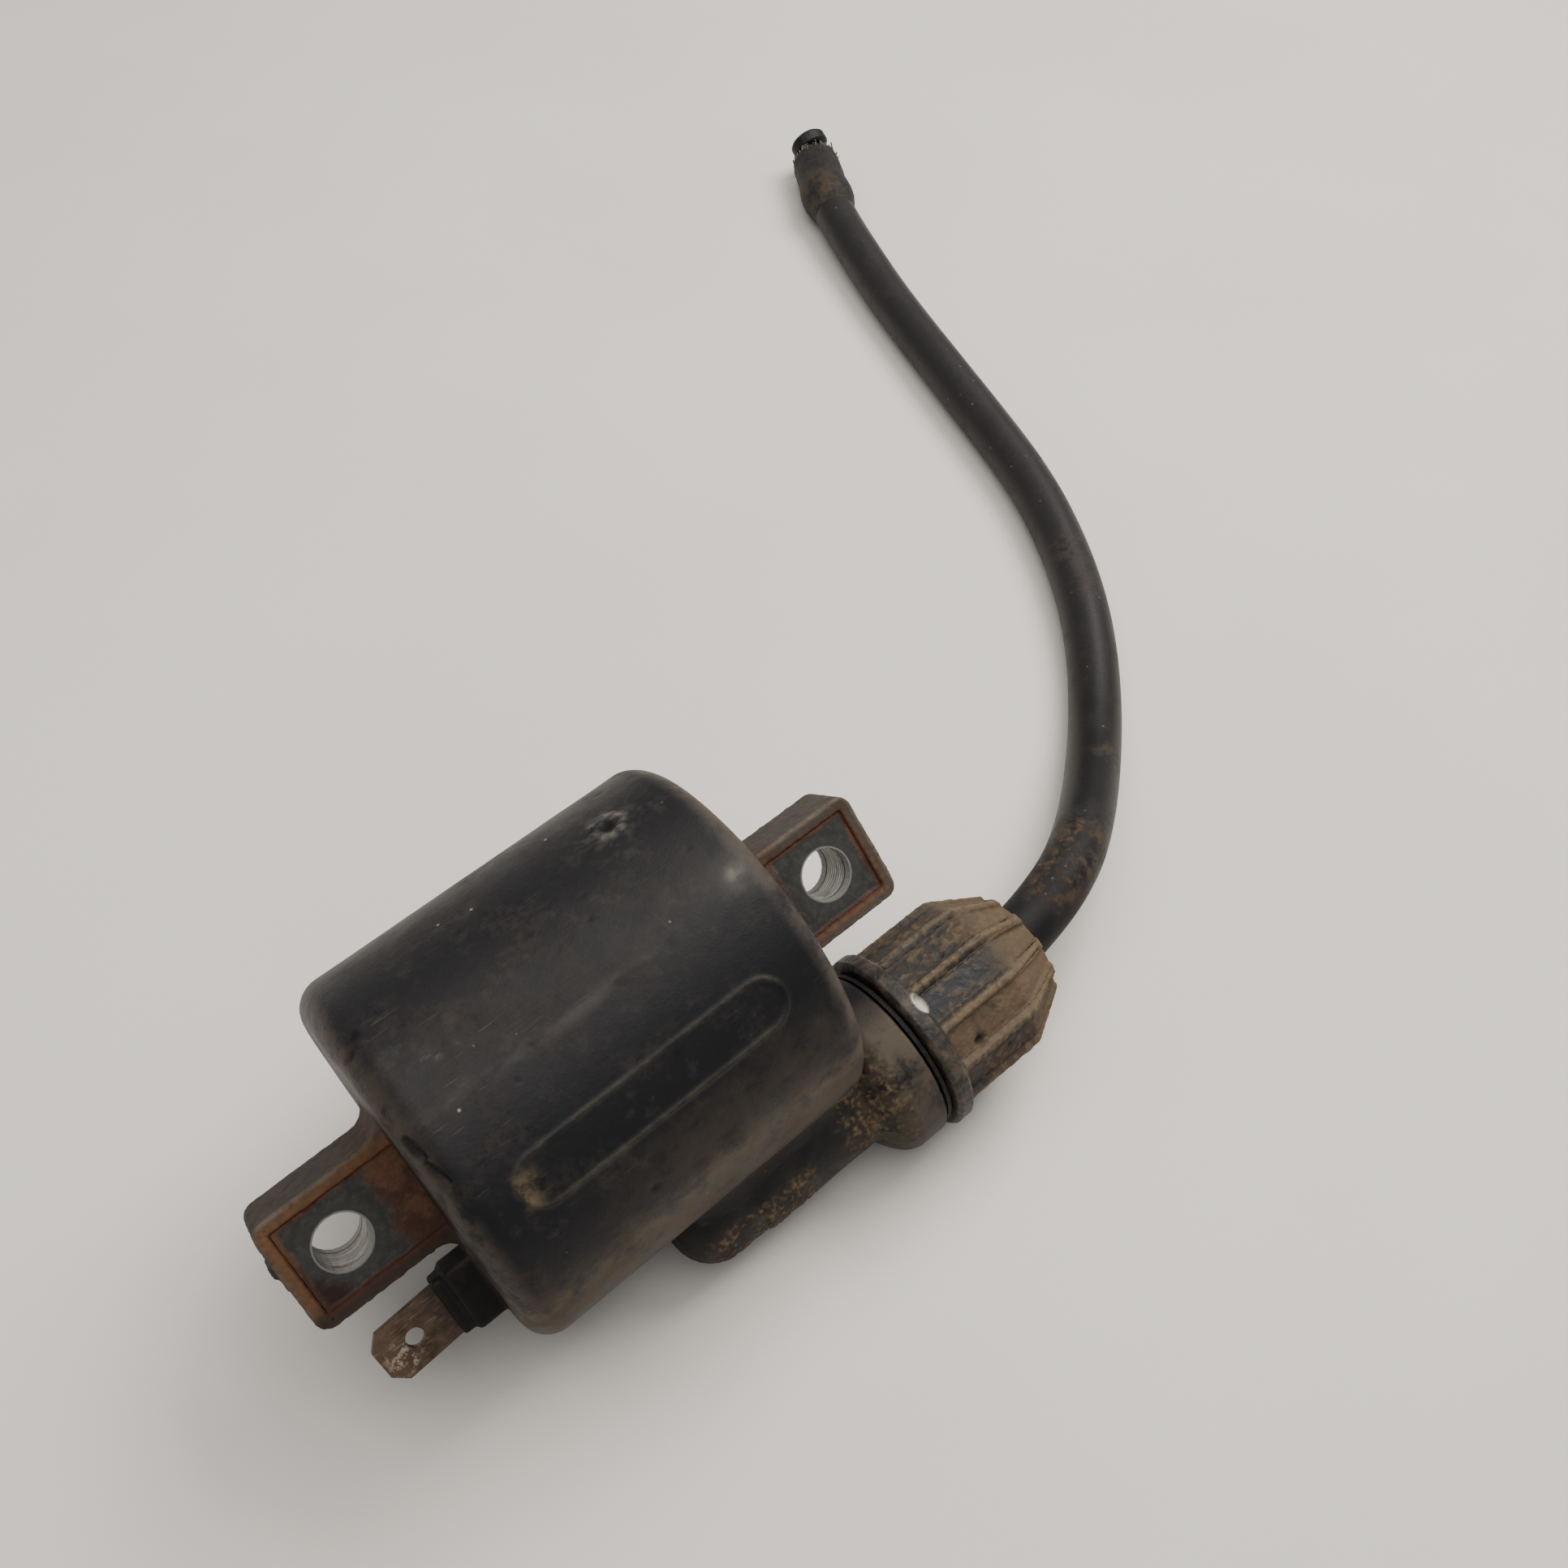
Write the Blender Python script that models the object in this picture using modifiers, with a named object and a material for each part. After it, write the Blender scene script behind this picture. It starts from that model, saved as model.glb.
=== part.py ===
"""Motorcycle ignition coil: moulded case on a laminated core, wound bobbins, lead tower, screw cap and HT lead.

The coil lies on its side on a level surface, Z = 0. In the frame of the empty "coil_axis", Z runs along the core
from the terminal end to the cap end, X points away from the lead tower and Y is the normal of the two mounting lugs.
Dimensions are in millimetres; the helpers turn them into metres.
"""

import math

import bmesh
import bpy
from mathutils import Matrix, Vector

MM = 0.001
GAP = 0.3  # between pieces that touch

# How the coil lies: the core's axis height, its direction, and the turn of the lugs about it
HEADING = math.radians(42.51)
PITCH = math.radians(6.93)
ROLL = math.radians(45.62)
CORE_CENTRE = (-10.34, 1.08, 24.65)

# Moulded case
BODY_Z = (-22.8, 22.0)
BODY_RADIUS = (22.3, 21.95)
BODY_ROUND = (3.6, 2.8)
CAVITY_RADIUS = 19.8
CAVITY_Z = (-20.0, 19.2)
BODY_STEPS = 64

# Mounting lugs and the core that shows in them
LUG_WIDTH = 13.5
LUG_THICKNESS = 8.04
LUG_REACH = 38.7
LUG_CORNER = 1.6
LUG_FILLET = 2.4
LUG_EDGE = 0.6
HOLE_PITCH = 64.0
HOLE_RADIUS = 3.03
CORE_WIDTH = 10.4
CORE_LENGTH = 74.2
CORE_STACK = 7.4
SHEETS = 5
BUSH_RADIUS = 3.9

# Lead tower, beside the body, and its screw spigot
TOWER_OFFSET = 23.4
TOWER_RADIUS = 6.95
TOWER_NOSE_Z = -4.5
TOWER_NOSE_ROUND = 4.7
COLLAR_RADIUS = 10.97
COLLAR_Z = 28.4
SPIGOT_RADIUS = 7.6
SPIGOT_Z = 40.0
LEAD_BORE = 4.15
LEAD_BORE_Z = 20.5
CONTACT_BORE = 2.0
CONTACT_BORE_Z = 4.6
WEB_FILLET = 5.0

# Screw cap
CAP_Z = (29.5, 43.1, 49.55)
CAP_PANEL_RADIUS = 10.15
CAP_RIB_RADIUS = 10.94
CAP_FLANGE_RADIUS = 11.69
CAP_FRONT_RADIUS = 7.33
CAP_BORE = 8.0
CAP_FRONT_BORE = 5.5
CAP_RIBS = 12
CAP_RIB_WIDTH = 1.5
CAP_RIB_TURN = 0.53

# Primary terminal
TAB_X = -12.8
TAB_Y = 3.2
TAB_WIDTH = 6.3
TAB_THICKNESS = 0.8
TAB_TIP_Z = -36.1
TAB_HOLE_RADIUS = 1.05
TAB_YAW = math.radians(-3.2)
BOSS_Z = (-26.4, -27.8)

# Windings
BOBBIN_Z = (-16.5, 15.5)
PRIMARY_TUBE = 7.4
PRIMARY_FLANGE = (10.3, 0.8)
PRIMARY_WINDING = 9.9
PAPER_SLEEVE = (10.6, 11.2)
SECONDARY_TUBE = (11.5, 12.4)
SECONDARY_FLANGE = (17.8, 0.9)
SECONDARY_WINDING = 17.0
SECTIONS = 6
WIRE_RADIUS = 0.4
WIRE_HOLE = 0.8
WIRE_RING = 8.7
WIRE_BAY_Z = (-17.6, 16.6)

# HT lead, with the old sleeve on its far end
LEAD_RADIUS = 3.8
LEAD_START_Z = 24.2
LEAD_SPACING = 7.0
LEAD_STRAIGHT_Z = (24.2, 30.0, 36.0, 42.0, 47.0)
LEAD_ROUTE = (
    (44.8, 33.0, 14.1),
    (47.5, 40.0, 12.6),
    (49.8, 48.3, 9.7),
    (52.1, 59.9, 6.0),
    (53.5, 70.6, 4.2),
    (53.9, 78.8, 3.95),
    (53.7, 87.8, 3.95),
    (52.5, 98.1, 3.95),
    (50.1, 108.9, 3.95),
    (46.4, 120.3, 3.95),
    (41.2, 131.6, 3.95),
    (35.7, 142.6, 3.95),
    (29.6, 154.8, 3.95),
    (23.3, 167.7, 3.95),
    (17.4, 181.0, 4.4),
    (12.9, 192.2, 4.85),
    (10.6, 201.0, 4.95),
    (8.3, 209.8, 4.95),
)
SLEEVE_LENGTH = 17.5
SLEEVE_RADIUS = 4.7
SLEEVE_BORE = 4.1
SLEEVE_RIM = 1.0  # from the lead's end back to the sleeve's rim
PLUG_RADIUS = 3.55
PLUG_THICKNESS = 2.7
PLUG_NECK = (2.3, 1.9, 2.5)  # radius, start and end past the lead's end
PLUG_SHIFT = -0.9
PLUG_TILT = (math.radians(-24), math.radians(20))


def paint(name, colour, roughness, metallic):
    material = bpy.data.materials.new(name)
    material.use_nodes = True
    shader = material.node_tree.nodes["Principled BSDF"]
    shader.inputs["Base Color"].default_value = (*colour, 1.0)
    shader.inputs["Roughness"].default_value = roughness
    shader.inputs["Metallic"].default_value = metallic
    material.diffuse_color = (*colour, 1.0)
    return material


def add_empty(name, parent=None, location=(0.0, 0.0, 0.0), rotation=(0.0, 0.0, 0.0)):
    """An axis for other pieces, located in millimetres in its parent's frame."""
    empty = bpy.data.objects.new(name, None)
    empty.empty_display_size = 10 * MM
    empty.location = Vector(location) * MM
    empty.rotation_euler = rotation
    empty.parent = parent
    parts.objects.link(empty)
    bpy.context.view_layer.update()
    return empty


def add_object(name, data, parent, material=None):
    """An object in its parent's frame: a part when it has a material, a cutter or a piece to join when it has none."""
    obj = bpy.data.objects.new(name, data)
    obj.parent = parent
    if material is None:
        obj.hide_render = True
        obj.display_type = "WIRE"
        cutters.objects.link(obj)
    else:
        data.materials.append(material)
        parts.objects.link(obj)
    bpy.context.view_layer.update()
    return obj


def bake(obj):
    """Gives the object its evaluated mesh, welded and shaded by angle."""
    bpy.context.view_layer.update()
    graph = bpy.context.evaluated_depsgraph_get()
    mesh = bpy.data.meshes.new_from_object(obj.evaluated_get(graph))
    bm = bmesh.new()
    bm.from_mesh(mesh)
    bmesh.ops.remove_doubles(bm, verts=bm.verts, dist=0.000002)
    bm.to_mesh(mesh)
    bm.free()
    mesh.shade_smooth()
    mesh.set_sharp_from_angle(angle=math.radians(35))
    if obj.type == "MESH":
        obj.modifiers.clear()
        obj.data = mesh
        return obj
    made = bpy.data.objects.new("baked", mesh)
    made.parent = obj.parent
    made.matrix_local = obj.matrix_local.copy()
    made.hide_render = obj.hide_render
    made.display_type = obj.display_type
    for collection in list(obj.users_collection):
        collection.objects.link(made)
    name = obj.name
    bpy.data.objects.remove(obj)
    made.name = name
    bpy.context.view_layer.update()
    return made


def turned(name, profile, parent, material=None, steps=32):
    """A round piece about the parent's Z. The profile's (radius, z) points run down the outer side first."""
    mesh = bpy.data.meshes.new(name)
    bm = bmesh.new()
    points = [bm.verts.new((radius * MM, 0.0, z * MM)) for radius, z in profile]
    for first, second in zip(points, points[1:]):
        bm.edges.new((first, second))
    if profile[0][0] > 0.0:
        bm.edges.new((points[-1], points[0]))
    bm.to_mesh(mesh)
    bm.free()
    obj = add_object(name, mesh, parent, material)
    screw = obj.modifiers.new("Turn", "SCREW")
    screw.axis = "Z"
    screw.steps = steps
    screw.render_steps = steps
    screw.use_merge_vertices = True
    screw.merge_threshold = 0.00001
    return bake(obj)


def plate(name, outlines, thickness, matrix, parent, material=None):
    """A flat piece from closed outlines in millimetres: the first is its edge, the others are its holes."""
    curve = bpy.data.curves.new(name, "CURVE")
    curve.dimensions = "2D"
    curve.fill_mode = "BOTH"
    curve.extrude = thickness / 2 * MM
    for outline in outlines:
        spline = curve.splines.new("POLY")
        spline.points.add(len(outline) - 1)
        for point, (x, y) in zip(spline.points, outline):
            point.co = (x * MM, y * MM, 0.0, 1.0)
        spline.use_cyclic_u = True
    obj = add_object(name, curve, parent, material)
    obj.matrix_local = matrix
    return bake(obj)


def block(name, low, high, parent, material=None):
    """A box between two corners in millimetres."""
    mesh = bpy.data.meshes.new(name)
    bm = bmesh.new()
    bmesh.ops.create_cube(bm, size=1.0)
    centre = (Vector(low) + Vector(high)) / 2 * MM
    size = (Vector(high) - Vector(low)) * MM
    bmesh.ops.scale(bm, vec=size, verts=bm.verts)
    bmesh.ops.translate(bm, vec=centre, verts=bm.verts)
    bm.to_mesh(mesh)
    bm.free()
    return add_object(name, mesh, parent, material)


def rod(name, start, end, radius, parent, steps=16):
    """A round cutter between two points in millimetres."""
    mesh = bpy.data.meshes.new(name)
    bm = bmesh.new()
    run = (Vector(end) - Vector(start)) * MM
    bmesh.ops.create_cone(
        bm, cap_ends=True, segments=steps, radius1=radius * MM, radius2=radius * MM, depth=run.length
    )
    turn = run.to_track_quat("Z", "Y").to_matrix().to_4x4()
    middle = (Vector(start) + Vector(end)) / 2 * MM
    bmesh.ops.transform(bm, matrix=Matrix.Translation(middle) @ turn, verts=bm.verts)
    bm.to_mesh(mesh)
    bm.free()
    return add_object(name, mesh, parent)


def combine(target, others, operation):
    for other in others:
        modifier = target.modifiers.new(other.name, "BOOLEAN")
        modifier.operation = operation
        modifier.solver = "EXACT"
        modifier.object = other


def round_edges(obj, width, segments=2, angle=50):
    bevel = obj.modifiers.new("Round", "BEVEL")
    bevel.width = width * MM
    bevel.segments = segments
    bevel.limit_method = "ANGLE"
    bevel.angle_limit = math.radians(angle)
    return bake(obj)


def wire(name, points, radius, parent, material, resolution=2):
    """A round wire or lead through points in millimetres in the parent's frame, or in world space with no parent."""
    curve = bpy.data.curves.new(name, "CURVE")
    curve.dimensions = "3D"
    curve.bevel_depth = radius * MM
    curve.bevel_resolution = resolution
    curve.use_fill_caps = True
    spline = curve.splines.new("POLY")
    spline.points.add(len(points) - 1)
    for point, place in zip(spline.points, points):
        point.co = (*(Vector(place) * MM), 1.0)
    return add_object(name, curve, parent, material)


def arc(centre, radius, start, end, count):
    """Points on an arc, angles in degrees."""
    for index in range(count + 1):
        angle = math.radians(start + (end - start) * index / count)
        yield centre[0] + radius * math.cos(angle), centre[1] + radius * math.sin(angle)


def circle(centre, radius, count=24):
    return list(arc(centre, radius, 0, 360 * (count - 1) / count, count - 1))


def smooth_route(points, spacing):
    """Points every `spacing` along a smooth curve through the given ones."""
    points = [Vector(point) for point in points]
    knots = [2 * points[0] - points[1], *points, 2 * points[-1] - points[-2]]
    fine = []
    for before, start, end, after in zip(knots, knots[1:], knots[2:], knots[3:]):
        for step in range(20):
            t = step / 20
            fine.append(
                0.5
                * (
                    2 * start
                    + (end - before) * t
                    + (2 * before - 5 * start + 4 * end - after) * t * t
                    + (3 * start - before - 3 * end + after) * t * t * t
                )
            )
    fine.append(points[-1])
    length = sum((b - a).length for a, b in zip(fine, fine[1:]))
    count = round(length / spacing)
    route = [fine[0]]
    travelled = 0.0
    for first, second in zip(fine, fine[1:]):
        step = (second - first).length
        while len(route) < count and travelled + step >= len(route) * length / count:
            route.append(first.lerp(second, (len(route) * length / count - travelled) / step))
        travelled += step
    route.append(fine[-1])
    return route


def rounded_path(points, radius=0.9, count=3):
    """A path with its inner corners rounded, for stiff wire."""
    points = [Vector(point) for point in points]
    path = [points[0]]
    for before, corner, after in zip(points, points[1:], points[2:]):
        start = corner + (before - corner).normalized() * radius
        end = corner + (after - corner).normalized() * radius
        for step in range(count + 1):
            t = step / count
            path.append(start.lerp(corner, t).lerp(corner.lerp(end, t), t))
    path.append(points[-1])
    return path


def body_radius(z):
    """The case's outer radius at a height along the core, with its rounded ends."""
    low, high = BODY_Z
    along = (z - low) / (high - low)
    radius = BODY_RADIUS[0] + (BODY_RADIUS[1] - BODY_RADIUS[0]) * along
    for end, rounding in ((z - low, BODY_ROUND[0]), (high - z, BODY_ROUND[1])):
        if end < rounding:
            radius += math.sqrt(rounding**2 - (rounding - end) ** 2) - rounding
    return radius


def web_section(z, fillet):
    """The outline that fills the two hollows between body and tower with a tangent fillet, at one height."""
    body = body_radius(z)
    far, near = body + fillet, TOWER_RADIUS + fillet
    along = (far**2 - near**2 + TOWER_OFFSET**2) / (2 * TOWER_OFFSET)
    across = math.sqrt(far**2 - along**2)
    centre = Vector((-along, across))
    tower = Vector((-TOWER_OFFSET, 0.0))
    start = math.degrees(math.atan2(-across, along))
    towards = tower - centre
    end = math.degrees(math.atan2(towards.y, towards.x))
    upper = [Vector(point) for point in arc(centre, fillet, start, end - 360 if end > start else end, 6)]
    inside = [upper[0] + Vector((0.7, -0.7))] + upper + [upper[-1] + Vector((0.2, -0.7))]
    lower = [Vector((point.x, -point.y)) for point in reversed(inside)]
    return [Vector((point.x, point.y, z)) * MM for point in inside + lower]


def loft(name, sections, parent):
    """A closed solid through sections that have the same number of points."""
    mesh = bpy.data.meshes.new(name)
    bm = bmesh.new()
    rings = [[bm.verts.new(point) for point in section] for section in sections]
    for low, high in zip(rings, rings[1:]):
        for index in range(len(low)):
            after = (index + 1) % len(low)
            bm.faces.new((low[index], low[after], high[after], high[index]))
    bm.faces.new(rings[0])
    bm.faces.new(rings[-1])
    bmesh.ops.triangulate(bm, faces=bm.faces)
    bmesh.ops.recalc_face_normals(bm, faces=bm.faces)
    bm.to_mesh(mesh)
    bm.free()
    return add_object(name, mesh, parent)


def lug_outline():
    """Both lugs and the strip between them that lies inside the body, in (X, Z)."""
    half = LUG_WIDTH / 2
    inner = half - LUG_CORNER
    outline = []
    for end, sign in ((BODY_Z[1], 1), (BODY_Z[0], -1)):
        side = [(half + LUG_FILLET + 1.0, end - sign * 1.0)]
        side += [(half + LUG_FILLET - x, end + sign * y) for x, y in arc((0, LUG_FILLET), LUG_FILLET, -90, 0, 5)]
        side += [(inner + x, sign * (LUG_REACH - LUG_CORNER + y)) for x, y in arc((0, 0), LUG_CORNER, 0, 90, 5)]
        across = side + [(-x, z) for x, z in reversed(side)]
        outline += across if sign > 0 else across[::-1]
    return outline


def make_case(frame, tower, material):
    low, high = BODY_Z
    profile = [(0.0, high)]
    profile += list(arc((BODY_RADIUS[1] - BODY_ROUND[1], high - BODY_ROUND[1]), BODY_ROUND[1], 90, 0, 6))
    profile += list(arc((BODY_RADIUS[0] - BODY_ROUND[0], low + BODY_ROUND[0]), BODY_ROUND[0], 0, -90, 6))
    profile += [(0.0, low)]
    case = turned("case", profile, frame, material, BODY_STEPS)

    nose = TOWER_NOSE_Z + TOWER_NOSE_ROUND
    profile = [(0.0, SPIGOT_Z), (SPIGOT_RADIUS - 0.5, SPIGOT_Z), (SPIGOT_RADIUS, SPIGOT_Z - 0.5)]
    profile += [(SPIGOT_RADIUS, COLLAR_Z), (COLLAR_RADIUS - 0.35, COLLAR_Z), (COLLAR_RADIUS, COLLAR_Z - 0.35)]
    profile += [(COLLAR_RADIUS, 24.4), (10.5, 23.3), (9.6, 22.4), (8.3, 21.5), (7.4, 20.9), (TOWER_RADIUS, 20.0)]
    profile += list(arc((TOWER_RADIUS - TOWER_NOSE_ROUND, nose), TOWER_NOSE_ROUND, 0, -90, 7))
    profile += [(0.0, TOWER_NOSE_Z)]
    tower_body = turned("tower_body", profile, tower, steps=48)

    stations = ((-2.2, 0.8), (-1.0, 2.0), (0.5, 3.4), (3.0, WEB_FILLET), (17.0, WEB_FILLET), (19.4, 3.6), (21.2, 1.6))
    web = loft("tower_web", [web_section(z, fillet) for z, fillet in stations], frame)

    lugs = plate("lugs", [lug_outline()], LUG_THICKNESS, UPRIGHT, frame)
    lugs = round_edges(lugs, LUG_EDGE)
    boss = block("boss", (TAB_X - 3.5, TAB_Y - 2.0, BOSS_Z[0]), (TAB_X + 4.1, TAB_Y + 2.5, low + 1.0), frame)
    boss = round_edges(boss, 0.5)
    step = block("boss_step", (TAB_X - 3.2, TAB_Y - 1.4, BOSS_Z[1]), (TAB_X + 3.7, TAB_Y + 1.6, low + 1.0), frame)
    step = round_edges(step, 0.3)
    combine(case, (tower_body, web, lugs, boss, step), "UNION")

    cavity = turned(
        "cavity",
        [(0.0, CAVITY_Z[1]), (CAVITY_RADIUS, CAVITY_Z[1]), (CAVITY_RADIUS, CAVITY_Z[0]), (0.0, CAVITY_Z[0])],
        frame,
        steps=48,
    )
    half = CORE_WIDTH / 2 + GAP
    slot_y = LUG_THICKNESS / 2 + 0.13
    slot_z = CORE_LENGTH / 2 + GAP
    slot = block("core_slot", (-half, -slot_y, -slot_z), (half, slot_y, slot_z), frame)
    lead_bore = rod("lead_bore", (0, 0, LEAD_BORE_Z), (0, 0, SPIGOT_Z + 2), LEAD_BORE, tower, 32)
    contact_bore = rod("contact_bore", (0, 0, CONTACT_BORE_Z), (0, 0, LEAD_BORE_Z + 1), CONTACT_BORE, tower)
    bay = WIRE_BAY_Z[1]
    passage = rod("ht_passage", (-CAVITY_RADIUS + 1.5, 0, bay), (-TOWER_OFFSET, 0, bay), WIRE_HOLE, frame)
    tab_slot = block(
        "tab_slot",
        (TAB_X - TAB_WIDTH / 2 - GAP, TAB_Y - TAB_THICKNESS / 2 - GAP, BOSS_Z[1] - 1),
        (TAB_X + TAB_WIDTH / 2 + GAP, TAB_Y + TAB_THICKNESS / 2 + GAP, CAVITY_Z[0] + 1),
        frame,
    )
    combine(case, (cavity, slot, lead_bore, contact_bore, passage, tab_slot), "DIFFERENCE")
    bake(case)


def make_core(frame, steel, zinc):
    half, length = CORE_WIDTH / 2, CORE_LENGTH / 2
    edge = [(-half, -length), (half, -length), (half, length), (-half, length)]
    thickness = (CORE_STACK - (SHEETS - 1) * GAP) / SHEETS
    for index in range(SHEETS):
        outer = index in (0, SHEETS - 1)
        radius = HOLE_RADIUS if outer else BUSH_RADIUS + GAP
        y = CORE_STACK / 2 - thickness / 2 - index * (thickness + GAP)
        holes = [circle((0.0, side * HOLE_PITCH / 2), radius) for side in (-1, 1)]
        place = Matrix.Translation((0.0, y * MM, 0.0)) @ UPRIGHT
        plate(f"core_sheet_{index + 1}", [edge, *holes], thickness, place, frame, steel)
    reach = CORE_STACK / 2 - thickness - GAP
    for side, name in ((-1, "bush_terminal_end"), (1, "bush_cap_end")):
        axis = add_empty(f"{name}_axis", frame, (0.0, 0.0, side * HOLE_PITCH / 2), (math.pi / 2, 0.0, 0.0))
        tube = [(BUSH_RADIUS, reach), (BUSH_RADIUS, -reach), (HOLE_RADIUS, -reach), (HOLE_RADIUS, reach)]
        turned(name, tube, axis, zinc, 24)


def make_windings(frame, plastic, copper, enamel, paper, resin):
    low, high = BOBBIN_Z
    window = (CORE_WIDTH / 2 + GAP, CORE_STACK / 2 + GAP)
    window_cutter = block("core_window", (-window[0], -window[1], -30), (window[0], window[1], 30), frame)
    tab_ring = Vector((TAB_X, TAB_Y, 0.0)).normalized() * WIRE_RING
    start_hole = rod("start_hole", (tab_ring.x, tab_ring.y, low - 1), (tab_ring.x, tab_ring.y, low + 2), WIRE_HOLE, frame)
    earth_hole = rod("earth_hole", (0, WIRE_RING, high - 2), (0, WIRE_RING, high + 1), WIRE_HOLE, frame)
    ht_hole = rod("ht_hole", (-15, 0, high - 2), (-15, 0, high + 1), WIRE_HOLE, frame)
    tab_hole = rod("tab_hole", (TAB_X, TAB_Y, CAVITY_Z[0] - 1), (TAB_X, TAB_Y, -18), WIRE_HOLE, frame)
    side_hole = rod("side_hole", (-17, 0, WIRE_BAY_Z[1]), (-21, 0, WIRE_BAY_Z[1]), WIRE_HOLE, frame)

    rim, thick = PRIMARY_FLANGE
    spool = [(0.0, high), (rim, high), (rim, high - thick), (PRIMARY_TUBE, high - thick)]
    spool += [(PRIMARY_TUBE, low + thick), (rim, low + thick), (rim, low), (0.0, low)]
    bobbin = turned("primary_bobbin", spool, frame, plastic)
    combine(bobbin, (window_cutter, start_hole, earth_hole), "DIFFERENCE")
    bake(bobbin)
    inner, outer = PRIMARY_TUBE + GAP, PRIMARY_WINDING
    top, bottom = high - thick - GAP, low + thick + GAP
    turned("primary_winding", [(outer, top), (outer, bottom), (inner, bottom), (inner, top)], frame, copper)
    inner, outer = PAPER_SLEEVE
    turned("insulation_sleeve", [(outer, high), (outer, low), (inner, low), (inner, high)], frame, paper)

    inner, tube = SECONDARY_TUBE
    rim, thick = SECONDARY_FLANGE
    slot = (high - low - (SECTIONS + 1) * thick) / SECTIONS
    spool = []
    for index in range(SECTIONS + 1):
        top = high - index * (slot + thick)
        spool += [(tube, top), (rim, top), (rim, top - thick), (tube, top - thick)]
    spool = spool[1:-1] + [(inner, low), (inner, high)]
    bobbin = turned("secondary_bobbin", spool, frame, plastic)
    combine(bobbin, (ht_hole,), "DIFFERENCE")
    bake(bobbin)
    for index in range(SECTIONS):
        top = high - thick - GAP - index * (slot + thick)
        bottom = top - slot + 2 * GAP
        inner, outer = tube + GAP, SECONDARY_WINDING
        ring = [(outer, top), (outer, bottom), (inner, bottom), (inner, top)]
        turned(f"secondary_section_{index + 1}", ring, frame, enamel)

    radius = CAVITY_RADIUS - GAP
    low, high = CAVITY_Z[0] + GAP, CAVITY_Z[1] - GAP
    potting = turned("potting", [(0.0, high), (radius, high), (radius, low), (0.0, low)], frame, resin, 40)
    hollow = [(0.0, high - 1.2), (18.1, high - 1.2), (18.1, low + 1.2), (0.0, low + 1.2)]
    hollow_cutter = turned("potting_hollow", hollow, frame, steps=40)
    combine(potting, (hollow_cutter, window_cutter, tab_hole, side_hole), "DIFFERENCE")
    bake(potting)


def make_terminal(frame, brass):
    """A flat tab with chamfered corners, bent a little in its own plane, on a narrow tail through the case wall."""
    half, tail = TAB_WIDTH / 2, 1.25
    mouth = BOSS_Z[1] + 1.0
    tip = TAB_TIP_Z - mouth
    turn = Matrix.Rotation(TAB_YAW, 2)
    blade = [(-half, 0.0), (-half, tip + 1.4), (-half + 1.5, tip), (half - 1.5, tip), (half, tip + 1.4), (half, 0.0)]
    blade = [turn @ Vector(point) for point in blade]
    hole = [turn @ Vector(point) for point in circle((0.0, tip + 4.2), TAB_HOLE_RADIUS, 16)]
    edge = [(TAB_X + point.x, mouth + point.y) for point in blade]
    edge += [(TAB_X + half, -24.0), (TAB_X + tail, -24.0), (TAB_X + tail, CAVITY_Z[0] - 0.2)]
    edge += [(TAB_X - tail, CAVITY_Z[0] - 0.2), (TAB_X - tail, -24.0), (TAB_X - half, -24.0)]
    holes = [(TAB_X + point.x, mouth + point.y) for point in hole]
    place = Matrix.Translation((0.0, TAB_Y * MM, 0.0)) @ UPRIGHT
    plate("terminal_tab", [edge, holes], TAB_THICKNESS, place, frame, brass)


def make_wires(frame, copper):
    left, right = WIRE_BAY_Z
    ring = Vector((TAB_X, TAB_Y, 0.0)).normalized() * WIRE_RING
    start = [(TAB_X, TAB_Y, CAVITY_Z[0] + 0.1), (TAB_X, TAB_Y, left), (ring.x, ring.y, left)]
    start += [(ring.x, ring.y, BOBBIN_Z[0] + PRIMARY_FLANGE[1])]
    wire("primary_wire", rounded_path(start), WIRE_RADIUS, frame, copper)
    top = BOBBIN_Z[1] - PRIMARY_FLANGE[1]
    earth = [(0.0, WIRE_RING, top), (0.0, WIRE_RING, right), (0.0, CORE_STACK / 2 + GAP, right)]
    wire("earth_wire", rounded_path(earth), WIRE_RADIUS, frame, copper)
    top = BOBBIN_Z[1] - SECONDARY_FLANGE[1]
    high = [(-15.0, 0.0, top), (-15.0, 0.0, right), (-TOWER_OFFSET + 1.6 + GAP, 0.0, right)]
    wire("ht_wire", rounded_path(high), WIRE_RADIUS, frame, copper)


def make_tower_fittings(tower, brass, rubber, zinc):
    point = LEAD_START_Z - GAP
    screw = [(0.0, point), (0.4, point - 0.7), (1.6, point - 4.5), (1.6, CONTACT_BORE_Z + GAP)]
    screw += [(0.0, CONTACT_BORE_Z + GAP)]
    turned("ht_contact", screw, tower, brass, 16)
    low, high = COLLAR_Z + GAP, CAP_Z[0] - GAP
    inner = SPIGOT_RADIUS + GAP
    turned("tower_seal", [(10.5, high), (10.5, low), (inner, low), (inner, high)], tower, rubber, 40)
    low = SPIGOT_Z + GAP
    gland = [(6.5, low + 4.1), (7.3, low + 0.6), (7.3, low), (LEAD_RADIUS + GAP, low), (LEAD_RADIUS + 0.6, low + 4.1)]
    turned("lead_gland", gland, tower, rubber)
    low = low + 4.1 + GAP
    washer = [(7.4, low + 0.8), (7.4, low), (4.9, low), (4.9, low + 0.8)]
    turned("thrust_washer", washer, tower, zinc)


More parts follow.
